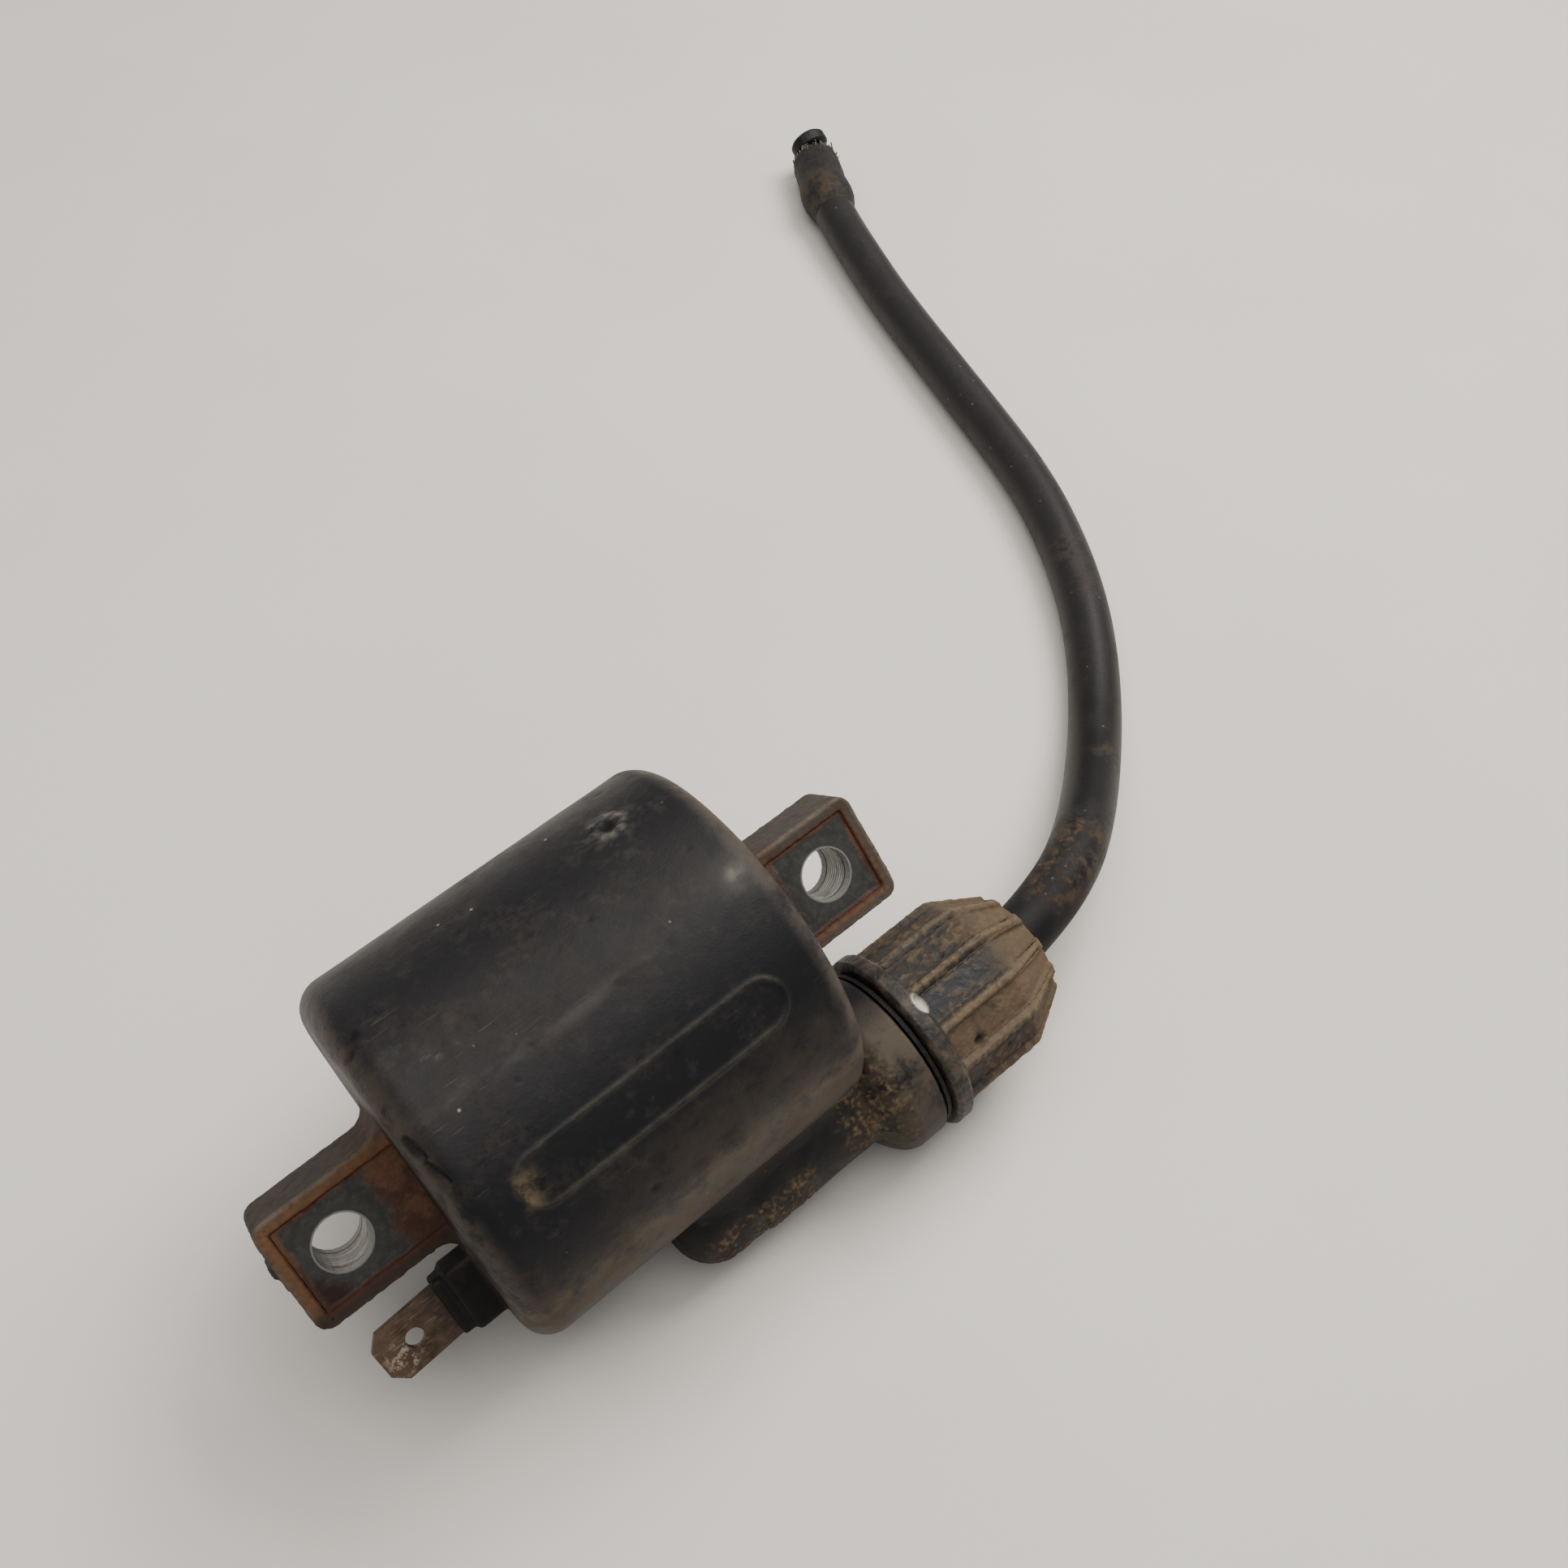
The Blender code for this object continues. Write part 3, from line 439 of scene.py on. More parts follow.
def aged_moulding():
    """The case: charcoal, dusty and scuffed, with worn rims, mud by the tower, rust on the lugs, and painted
    light and shade.
    """
    paint = Paint("aged_charcoal_moulding")
    angle = angle_of(paint)
    radius = paint.reach(paint.x, paint.y)
    blotch = paint.noise(8.0, 5.0, 0.62)
    patch = paint.noise(3.2, 6.0, 0.68, shift=17.0)
    fine = paint.noise(1.0, 6.0, 0.72, shift=4.0)
    grain = paint.noise(0.3, 3.0, 0.6, shift=9.0)
    band_noise = paint.noise(4.0, 5.0, 0.65, (1.0, 1.0, 0.5), 23.0)
    scratch_noise = paint.noise(0.2, 1.0, 0.5, (1.0, 1.0, 0.05), 31.0)
    mud = paint.kept("mud")
    on_lug, lugs = lug_layers(paint, patch, fine)
    on_body = paint.ramp(radius, 20.9, 21.6)

    # Tones round the case, among them a painted dark reflection and a painted highlight
    # Painted dark reflection: a blue-black band from 84 to 112 degrees round the case
    blue = paint.between(angle, 84.0, 112.0, 9.0)
    # Painted highlight: a paler brown band from 40 to 66 degrees round the case, which is also made a little
    # rougher
    dull = paint.between(angle, 40.0, 66.0, 14.0)
    dust = paint.times(paint.ramp(blotch, 0.44, 0.66), paint.ramp(fine, 0.34, 0.62))
    low = paint.times(paint.between(angle, 104.0, 128.0, 12.0), paint.ramp(paint.z, -16.0, 2.0))
    low = paint.times(low, paint.ramp(patch, 0.3, 0.58))
    band = paint.times(paint.between(angle, 61.0, 64.5, 2.2), paint.ramp(band_noise, 0.42, 0.62))
    worn_patch = paint.times(paint.ramp(patch, 0.55, 0.72), on_body)

    # Dirt at the foot of the tower, on the collar, in the panel and on the rims
    junction = paint.times(paint.between(angle, 124.0, 152.0, 9.0), paint.ramp(patch, 0.3, 0.6))
    collar = paint.times(paint.ramp(paint.x, -13.0, -15.0), paint.ramp(patch, 0.34, 0.62))
    edge_dirt = paint.times(paint.kept("panel_edge"), paint.ramp(patch, 0.36, 0.64))
    oval_end = paint.times(paint.ramp(paint.z, -13.4, -15.2), paint.between(angle, 86.0, 95.0, 2.0))
    oval_end = paint.times(oval_end, paint.ramp(paint.z, -17.4, -16.2), paint.ramp(patch, 0.4, 0.6))
    end_low = paint.times(paint.ramp(paint.z, -20.2, -22.2), paint.ramp(patch, 0.34, 0.56))
    end_high = paint.times(paint.ramp(paint.z, 19.2, 21.4), paint.ramp(patch, 0.34, 0.58))
    rims = paint.times(paint.larger(end_low, end_high), paint.ramp(radius, 16.5, 19.5))

    # Scratches and small chips
    scratch = paint.times(paint.ramp(scratch_noise, 0.68, 0.76), paint.ramp(blotch, 0.45, 0.6), 0.25)
    chips = paint.times(paint.ramp(paint.cells(3.1, 3.0), 0.075, 0.03), paint.ramp(patch, 0.5, 0.6))
    paint.colour(
        shade(30, 29, 30),
        (paint.ramp(blotch, 0.35, 0.65), 0.7, shade(20, 20, 22)),
        # painted dark reflection
        (blue, 0.5, shade(17, 18, 22)),
        # painted highlight
        (paint.times(dull, paint.ramp(patch, 0.25, 0.6)), 0.45, shade(46, 42, 39)),
        (dust, 0.38, shade(56, 50, 44)),
        (low, 0.55, shade(58, 51, 44)),
        (band, 0.45, shade(70, 66, 64)),
        (worn_patch, 0.35, shade(60, 55, 50)),
        (junction, 0.8, shade(94, 80, 64)),
        (collar, 0.3, shade(50, 46, 42)),
        (edge_dirt, 0.45, shade(70, 64, 52)),
        (oval_end, 0.65, shade(92, 80, 58)),
        (rims, 0.55, shade(84, 75, 64)),
        (scratch, 1.0, shade(84, 82, 80)),
        # pale scuffs round the pock and along a scratch, and a painted highlight on the rim
        (paint.kept("scuff_and_highlight"), 0.42, shade(106, 101, 93)),
        *lugs,
        (paint.calc("MINIMUM", mud, 0.9), 1.0, paint.mix(grain, shade(66, 56, 44), shade(122, 104, 80))),
        # painted shade in the knocks, darker the deeper they are
        (paint.kept("knock"), 0.8, shade(13, 13, 13)),
        (paint.times(chips, on_body), 0.7, shade(140, 134, 124)),
    )
    paint.relief((grain, 0.03), (fine, 0.06), (scratch, -0.03))
    gloss = paint.plus(0.36, paint.times(blotch, 0.16), paint.times(dust, 0.16), paint.times(dull, 0.05))
    gloss = paint.plus(gloss, paint.times(on_lug, 0.25), paint.times(mud, 0.4), paint.times(collar, 0.2))
    return paint.finish(gloss, specular=0.14)


def dirty_cap():
    """The cap: brown dirt in the panels and on the cone, cleaner where it is handled, pitted and chipped,
    with painted shade in the pits and a painted highlight on the ribs.
    """
    paint = Paint("dirty_cap_moulding", TOWER_PLACE)
    angle = angle_of(paint)
    fine = paint.noise(0.9, 6.0, 0.72)
    blotch = paint.noise(5.5, 4.0, 0.6, shift=6.0)
    patch = paint.noise(2.2, 6.0, 0.7, shift=9.0)
    grain = paint.noise(0.25, 3.0, 0.6, shift=2.0)
    rib = paint.kept("rib")
    up = paint.ramp(paint.z, 31.7, 32.9)
    cone = paint.ramp(paint.plus(paint.z, paint.times(patch, 5.0)), 43.0, 48.5)
    clean = paint.times(paint.between(angle, 51.0, 68.0, 6.0), paint.ramp(paint.z, 43.5, 39.0), up)
    ragged_z = paint.plus(paint.z, paint.times(blotch, 4.0))
    clean_side = paint.times(paint.between(angle, 20.0, 40.0, 6.0), paint.ramp(ragged_z, 43.5, 40.0), up)
    clean = paint.larger(clean, paint.times(clean_side, paint.ramp(patch, 0.38, 0.6)))
    tan_panel = paint.times(paint.between(angle, 74.0, 104.5, 2.5), paint.ramp(patch, 0.22, 0.5), up)
    film = paint.times(paint.ramp(paint.plus(blotch, paint.times(patch, 0.4)), 0.52, 0.92), up)
    film = paint.times(film, paint.invert(paint.times(clean, 0.8)))
    thick = paint.times(paint.ramp(paint.kept("mud"), 0.3, 0.75), up, paint.ramp(blotch, 0.4, 0.6))
    flange = paint.times(paint.ramp(paint.z, 32.3, 31.6), paint.ramp(patch, 0.38, 0.68))
    paint.colour(
        shade(36, 33, 30),
        (paint.ramp(blotch, 0.35, 0.7), 1.0, shade(27, 26, 26)),
        (clean, 0.85, shade(24, 26, 31)),
        (flange, 0.75, shade(82, 71, 58)),
        (film, 0.75, paint.mix(patch, shade(52, 43, 33), shade(84, 70, 52))),
        (tan_panel, 0.75, paint.mix(fine, shade(72, 58, 43), shade(106, 87, 66))),
        (cone, 0.75, paint.mix(fine, shade(72, 60, 46), shade(106, 89, 68))),
        (thick, 0.6, paint.mix(grain, shade(72, 59, 42), shade(112, 93, 68))),
        # paler rib tops: dust, and a painted highlight along them
        (paint.times(rib, paint.ramp(fine, 0.34, 0.6)), 0.5, shade(112, 96, 74)),
        # painted shade in the pits
        (paint.kept("pit"), 0.85, shade(22, 19, 17)),
        (paint.kept("chip"), 0.95, shade(186, 180, 170)),
    )
    paint.relief((grain, 0.05), (fine, 0.12))
    return paint.finish(paint.plus(0.5, paint.times(film, 0.3), paint.times(cone, 0.25)), specular=0.3)


def rusted_steel():
    """Core steel: blue-grey round the bolt hole, rusting towards the case and the edges, zinc inside."""
    paint = Paint("rusted_core_steel")
    away = paint.calc("SUBTRACT", paint.absolute(paint.z), HOLE_PITCH / 2)
    hole = paint.reach(paint.x, away)
    fine = paint.noise(0.7, 6.0, 0.72)
    blotch = paint.noise(2.8, 5.0, 0.68, shift=7.0)
    grain = paint.noise(0.2, 3.0, 0.6, shift=3.0)
    edge_x = paint.ramp(paint.absolute(paint.x), 4.3, 5.3)
    edge_z = paint.ramp(away, 4.0, 5.2)
    inner = paint.ramp(away, -3.0, -7.5)
    edges = paint.larger(paint.larger(edge_x, edge_z), inner)
    rust = paint.ramp(paint.plus(edges, paint.times(blotch, 1.5)), 0.95, 1.65)
    corner = paint.vector("DISTANCE", paint.point, RUSTED_CORNER)
    redder = paint.times(paint.ramp(paint.x, 3.5, -2.0), 0.14)
    redder = paint.plus(paint.noise(3.0, 4.0, 0.6, shift=15.0), redder)
    deep = paint.times(rust, paint.ramp(redder, 0.46, 0.62))
    deep = paint.larger(deep, paint.times(paint.ramp(corner, 3.2, 1.4), paint.ramp(blotch, 0.3, 0.5)))
    wall = paint.ramp(hole, 3.3, 3.1)
    ring = paint.between(hole, 3.2, 4.4, 0.4)
    paint.colour(
        shade(54, 54, 51),
        (paint.ramp(fine, 0.4, 0.7), 1.0, shade(72, 71, 67)),
        (ring, 0.3, shade(74, 74, 72)),
        (rust, 0.92, paint.mix(fine, shade(58, 38, 25), shade(104, 66, 38))),
        (deep, 0.8, shade(50, 22, 15)),
        (paint.times(paint.ramp(grain, 0.62, 0.72), rust), 0.4, shade(140, 92, 54)),
        (wall, 0.9, paint.mix(fine, shade(104, 105, 102), shade(156, 156, 150))),
    )
    paint.relief((paint.times(fine, paint.plus(rust, 0.25)), 0.14), (grain, 0.03))
    bare = paint.times(paint.invert(rust), 0.6)
    return paint.finish(paint.plus(0.5, paint.times(rust, 0.35)), bare)


def zinc_plate():
    """The bushes and the washer: dull zinc with fine rings and brown stains."""
    paint = Paint("dull_zinc_plate")
    fine = paint.noise(0.6, 5.0, 0.7)
    lines = paint.noise(0.9, 3.0, 0.6, (0.25, 2.2, 0.25), 3.0)
    rings = paint.calc("SINE", paint.times(paint.y, 2 * math.pi / 0.55))
    stain = paint.ramp(paint.noise(2.2, 4.0, 0.6, shift=8.0), 0.52, 0.7)
    paint.colour(
        shade(138, 138, 134),
        (paint.ramp(lines, 0.35, 0.68), 1.0, shade(186, 186, 180)),
        (stain, 0.6, shade(112, 96, 80)),
        (paint.ramp(fine, 0.6, 0.72), 0.5, shade(96, 92, 86)),
    )
    paint.relief((lines, 0.06), (rings, 0.05))
    return paint.finish(paint.plus(0.36, paint.times(fine, 0.25)), 0.85)


def tarnished_brass():
    """The blade: brown, darker at its root, scratched along its length, with a pale crust near the tip."""
    paint = Paint("tarnished_blade")
    blotch = paint.noise(1.9, 5.0, 0.65)
    fine = paint.noise(0.4, 6.0, 0.7, shift=5.0)
    crumbs = paint.ramp(paint.noise(0.9, 5.0, 0.7, shift=1.0), 0.49, 0.58)
    scratch = paint.ramp(paint.noise(0.16, 2.0, 0.5, (1.0, 1.0, 0.07), 3.0), 0.58, 0.7)
    crust = paint.times(paint.ramp(paint.vector("DISTANCE", paint.point, BLADE_CRUST), 2.6, 0.8), crumbs)
    dark = paint.ramp(paint.z, -30.5, -28.6)
    tip = paint.times(paint.ramp(paint.z, -32.0, -34.6), paint.ramp(blotch, 0.3, 0.6))
    paint.colour(
        shade(91, 73, 58),
        (paint.ramp(blotch, 0.36, 0.66), 1.0, shade(60, 46, 36)),
        (scratch, 0.5, shade(146, 124, 100)),
        (paint.ramp(fine, 0.56, 0.72), 0.6, shade(60, 46, 36)),
        (dark, 0.6, shade(52, 42, 34)),
        (tip, 0.3, shade(116, 92, 72)),
        (crust, 0.8, shade(176, 164, 146)),
    )
    paint.relief((fine, 0.05), (scratch, -0.02))
    return paint.finish(paint.plus(0.4, paint.times(blotch, 0.25), paint.times(crust, 0.3)), 0.55)


def distance_from(paint, place):
    """How far each point is from a world place, in millimetres."""
    spot = COIL_TURN.transposed() @ (Vector(place) - CORE_CENTRE)
    return paint.vector("DISTANCE", paint.point, tuple(spot))


def lead_rubber():
    """The lead: black by the cap, painted lighter further out for a sheen, with dried mud near the cap and
    pale specks.
    """
    paint = Paint("dirty_lead_rubber")
    blotch = paint.noise(7.0, 5.0, 0.62)
    fine = paint.noise(0.9, 6.0, 0.72, shift=5.0)
    grain = paint.noise(0.3, 3.0, 0.6, shift=7.0)
    flakes = paint.ramp(paint.noise(2.6, 7.0, 0.74, shift=3.0), 0.45, 0.6)
    mud = 0.0
    for place, reach, amount in LEAD_DIRT:
        away = distance_from(paint, place)
        mud = paint.plus(mud, paint.times(paint.ramp(away, reach, reach * 0.35), amount))
    mud = paint.times(paint.calc("MINIMUM", mud, 1.0), flakes)
    dust = paint.times(paint.ramp(blotch, 0.42, 0.7), paint.ramp(fine, 0.36, 0.6))
    specks = paint.times(paint.ramp(paint.cells(2.1, 6.0), 0.12, 0.05), paint.ramp(blotch, 0.48, 0.6))
    paint.colour(
        shade(15, 14, 14),
        # painted sheen: lighter further from the cap
        (paint.ramp(paint.z, 78.0, 112.0), 1.0, shade(36, 33, 34)),
        (paint.ramp(blotch, 0.3, 0.62), 0.35, shade(34, 31, 31)),
        (dust, 0.22, shade(50, 46, 42)),
        (mud, 0.75, paint.mix(fine, shade(36, 28, 22), shade(100, 79, 61))),
        (specks, 0.5, shade(110, 102, 90)),
    )
    paint.relief((grain, 0.03), (paint.times(fine, paint.plus(mud, 0.25)), 0.12))
    by_cap = paint.times(paint.ramp(paint.z, 66.0, 56.0), 0.18)
    gloss = paint.plus(0.42, paint.times(dust, 0.2), paint.times(mud, 0.3), by_cap)
    return paint.finish(gloss, specular=0.18)


def perished_rubber():
    """The old sleeve: cracked and brown in patches, with one stain."""
    paint = Paint("perished_sleeve_rubber")
    patch = paint.noise(2.6, 6.0, 0.7)
    fine = paint.noise(0.6, 6.0, 0.72, shift=5.0)
    cracks = paint.ramp(paint.noise(0.7, 4.0, 0.7, (1.0, 1.0, 1.0), 9.0, 1.5), 0.47, 0.5)
    stain = paint.ramp(distance_from(paint, SLEEVE_STAIN), 6.5, 1.5)
    stain = paint.times(stain, paint.ramp(patch, 0.36, 0.62))
    paint.colour(
        shade(24, 22, 21),
        (paint.ramp(patch, 0.38, 0.66), 0.5, shade(50, 42, 35)),
        (stain, 0.7, paint.mix(fine, shade(54, 42, 31), shade(84, 66, 44))),
        (paint.ramp(fine, 0.56, 0.7), 0.5, shade(15, 14, 14)),
    )
    paint.relief((fine, 0.12), (cracks, 0.05))
    return paint.finish(paint.plus(0.55, paint.times(fine, 0.2)), specular=0.3)


def worn(name, dark, light, roughness, size, depth, metallic=0.0, stretch=(1.0, 1.0, 1.0), specular=0.5):
    """An aged surface in two display colours, with a grain of its own size and depth."""
    paint = Paint(name)
    blotch = paint.noise(6.0 * size, 4.0, 0.6)
    grain = paint.noise(size, 5.0, 0.65, stretch, 4.0)
    tone = paint.times(paint.ramp(grain, 0.35, 0.65), paint.ramp(blotch, 0.25, 0.6))
    marks = paint.ramp(paint.noise(0.5 * size, 3.0, 0.6, shift=12.0), 0.58, 0.7)
    paint.colour(shade(*dark), (tone, 1.0, shade(*light)), (marks, 0.4, shade(*dark)))
    paint.relief((grain, depth))
    return paint.finish(paint.plus(roughness, paint.times(blotch, 0.15)), metallic, specular)


def wound(name, dark, light, pitch, metallic):
    """Fine wire in layers, in two display colours: grooves round the core every `pitch` millimetres."""
    paint = Paint(name)
    groove = paint.absolute(paint.calc("SINE", paint.times(paint.z, math.pi / pitch)))
    tone = paint.noise(2.5, 4.0, 0.6)
    # The wire's crowns get the light colour and its grooves the dark one: painted light and shade
    lit = paint.times(paint.ramp(groove, 0.1, 0.7), paint.ramp(tone, 0.2, 0.6))
    paint.colour(shade(*dark), (lit, 1.0, shade(*light)))
    paint.relief((groove, 0.4 * pitch))
    return paint.finish(paint.plus(0.25, paint.times(tone, 0.2)), metallic)


def finished(obj, body, material):
    """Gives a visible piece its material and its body."""
    obj.data.materials.clear()
    obj.data.materials.append(material)
    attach(obj, body)
    return obj


# Shaping


def step(value, low, high):
    """0 below low, 1 above high, smooth between."""
    share = np.clip((value - low) / (high - low), 0.0, 1.0)
    return share * share * (3.0 - 2.0 * share)


def hill(distance, width):
    """1 at no distance, falling off smoothly within about `width`."""
    return np.exp(-((distance / width) ** 2))


def roughness_of(points, size, octaves=3, shift=0.0):
    """Fractal noise at each point, about -1 to 1, with features of about `size` millimetres."""
    offset = Vector((shift, -shift, 2.0 * shift))
    return np.array([fractal(Vector(point) / size + offset, 0.9, 2.1, octaves) for point in points])


def mesh_from(bm, name):
    """A new mesh made from the bmesh, which is freed."""
    mesh = bpy.data.meshes.new(name)
    bm.to_mesh(mesh)
    bm.free()
    return mesh


def placed(name, data):
    """A new object in the scene."""
    obj = bpy.data.objects.new(name, data)
    bpy.context.scene.collection.objects.link(obj)
    return obj


def fine_copy(node, name, voxel, passes, extras=()):
    """A dense, smoothed copy of a CAD part and any extra bodies, ready to be shaped, in world space."""
    bm = bmesh.new()
    bm.from_mesh(frame["nodes"][node].data)
    for extra in extras:
        bm.from_mesh(extra)
        bpy.data.meshes.remove(extra)
    obj = placed(name, mesh_from(bm, name))
    remesh = obj.modifiers.new("Fine", "REMESH")
    remesh.mode = "VOXEL"
    remesh.voxel_size = voxel * MM
    relax = obj.modifiers.new("Relax", "SMOOTH")
    relax.factor = 0.5
    relax.iterations = passes
    return settled(obj)


def settled(obj):
    """Applies an object's modifiers and shades it smooth."""
    bpy.context.view_layer.update()
    graph = bpy.context.evaluated_depsgraph_get()
    mesh = bpy.data.meshes.new_from_object(obj.evaluated_get(graph))
    obj.modifiers.clear()
    old = obj.data
    obj.data = mesh
    bpy.data.meshes.remove(old)
    mesh.name = obj.name
    mesh.shade_smooth()
    return obj


def read(obj, place=(0.0, 0.0, 0.0), turn=Matrix.Identity(3)):
    """An object's points, in millimetres, and outward normals, in the frame at `place` turned by `turn`."""
    mesh = obj.data
    points = np.empty(len(mesh.vertices) * 3)
    mesh.vertices.foreach_get("co", points)
    normals = np.empty(len(mesh.vertices) * 3)
    mesh.vertices.foreach_get("normal", normals)
    points = (points.reshape(-1, 3) / MM - np.array(place)) @ np.array(turn)
    return points, normals.reshape(-1, 3) @ np.array(turn)


def write(obj, points, place=(0.0, 0.0, 0.0), turn=Matrix.Identity(3)):
    """Puts an object's points back, none of them outside the CAD model's box."""
    low, high = cad_box
    points = (points @ np.array(turn).T + np.array(place)) * MM
    points = np.clip(points, np.array(low), np.array(high))
    obj.data.vertices.foreach_set("co", np.asarray(points, np.float32).ravel())
    obj.data.update()


def mark(obj, name, values):
    """Keeps a number for each point, for the object's material to read."""
    layer = obj.data.attributes.new(name, "FLOAT", "POINT")
    layer.data.foreach_set("value", np.asarray(values, np.float32))


def laid_out(bm, centre, place=CORE_CENTRE):
    """The bmesh turned into the coil's frame, with its middle at `centre` there, as a mesh in world space."""
    turn = Matrix.Translation(world(centre, place)) @ COIL_TURN.to_4x4()
    bmesh.ops.transform(bm, matrix=turn, verts=bm.verts)
    return mesh_from(bm, "filler")


def solid_round(radius, low, high, place):
    """A plain closed cylinder along the coil's Z."""
    bm = bmesh.new()
    bmesh.ops.create_cone(
        bm, cap_ends=True, segments=64, radius1=radius * MM, radius2=radius * MM, depth=(high - low) * MM
    )
    return laid_out(bm, (0, 0, (low + high) / 2), place)


def solid_block(low, high):
    """A plain box between two corners in the coil's frame."""
    bm = bmesh.new()
    bmesh.ops.create_cube(bm, size=1.0)
    bmesh.ops.scale(bm, vec=(Vector(high) - Vector(low)) * MM, verts=bm.verts)
    return laid_out(bm, (Vector(low) + Vector(high)) / 2)


def body_radius(z):
    """The case's outer radius along the core, with its rounded ends."""
    low, high = BODY_Z
    radius = BODY_RADIUS[0] + (BODY_RADIUS[1] - BODY_RADIUS[0]) * (z - low) / (high - low)
    for end, rounding in ((z - low, BODY_ROUND[0]), (high - z, BODY_ROUND[1])):
        inset = np.clip(rounding - end, 0.0, rounding)
        radius = radius + np.sqrt(rounding**2 - inset**2) - rounding
    return radius


def snapped(points, axis_x, radius, low, high, within):
    """Puts points that lie almost on a round face exactly on it, and says which they are."""
    across = points[:, 0] - axis_x
    reach = np.hypot(across, points[:, 1])
    near = (np.abs(reach - radius) < within) & (points[:, 2] > low) & (points[:, 2] < high)
    share = np.where(near, radius / np.maximum(reach, 0.001), 1.0)
    points[:, 0] = axis_x + across * share
    points[:, 1] *= share
    return near


def from_mark(angle, z, mark_at):
    """How far round the case, and how far along it, each point is from a mark."""
    return np.radians(angle - mark_at[0]) * MARK_RADIUS, z - mark_at[1]


def knock_depths(points, angle, z, pock):
    """How high the knocks stand: a ringed pock, nicks, gouges beside the near rim and dents all round."""
    ragged = 1.0 + 0.35 * roughness_of(points, 0.9, 2, 9.0)
    knock = 0.2 * hill(pock - POCK_RING * ragged, 0.5) - 0.32 * hill(pock, 0.75)
    for angle_at, z_at, radius, depth in KNOCKS:
        knock -= depth * hill(np.hypot(*from_mark(angle, z, (angle_at, z_at))), radius)
    scale = (np.radians(MARK_RADIUS), 1.0)
    for start, end, width, depth in GOUGES:
        run = (np.array(end) - np.array(start)) * scale
        flat = np.stack([np.radians(angle) * MARK_RADIUS, z], 1) - np.array(start) * scale
        share = np.clip(flat @ run / (run @ run), 0.0, 1.0)
        gap = np.linalg.norm(flat - share[:, None] * run, axis=1)
        knock -= depth * hill(gap, width * (0.55 + 0.45 * np.sin(np.pi * share)))
    draw = np.random.default_rng(SEED)
    for _ in range(DENTS):
        around = (angle - draw.uniform(-180, 180) + 180) % 360 - 180
        along = z - draw.uniform(-22, 21)
        spread = np.hypot(np.radians(around) * MARK_RADIUS, along)
        knock -= draw.uniform(0.03, 0.12) * hill(spread, draw.uniform(0.2, 0.7))
    return knock


def scuff_and_highlight_shares(points, angle, z, pock):
    """Pale rubbing round the pock and along a scratch, and a painted highlight on the rim."""
    ragged = roughness_of(points, 1.0, 3, 31.0)
    scuff_and_highlight = hill(pock - 1.7, 0.5) * step(ragged, -0.6, 0.3) + 0.5 * hill(pock, 3.4) * step(ragged, 0.0, 0.5)
    # A painted highlight on the rim: a small pale spot
    around, along = from_mark(angle, z, RIM_HIGHLIGHT)
    chip = np.hypot(around, along / 1.3)
    scuff_and_highlight += 2.1 * hill(chip, 0.75) * step(ragged, -1.2, 0.1) + 0.35 * hill(chip, 2.2)
    around, along = from_mark(angle, z, LEFT_SCRATCH)
    scratch = np.hypot(around - 0.12 * along, along / 4.5)
    scuff_and_highlight += 0.7 * hill(scratch, 0.5) * step(ragged, 0.0, 0.4)
    return np.clip(scuff_and_highlight, 0.0, 2.1)


def dried_mud(points, x, y, z):
    """How thick crumbs of mud lie on the collar and under the tower, and how dense their film is."""
    turn = np.degrees(np.arctan2(y, x + TOWER_OFFSET))
    mud = step(z, 15.5, 19.0) * step(-z, -25.5, -22.5) * step(turn, 35, 75) * step(-turn, -150, -115)
    mud += 0.8 * step(turn, 95, 112) * step(-turn, -165, -140) * step(z, -4.0, 0.0) * step(-z, -14.0, -9.0)
    near_tower = np.hypot(x + TOWER_OFFSET, y) < 11.6
    coarse = roughness_of(points, 2.6, 2, 3.0)
    film = np.where(near_tower, mud, 0.0) * np.clip(0.5 + coarse, 0.0, 1.0)
    crumbs = np.clip(roughness_of(points, 0.6, 3, 17.0) + 0.3 * coarse - 0.08, 0.0, 0.5)
    return np.where(near_tower, mud * crumbs, 0.0), film


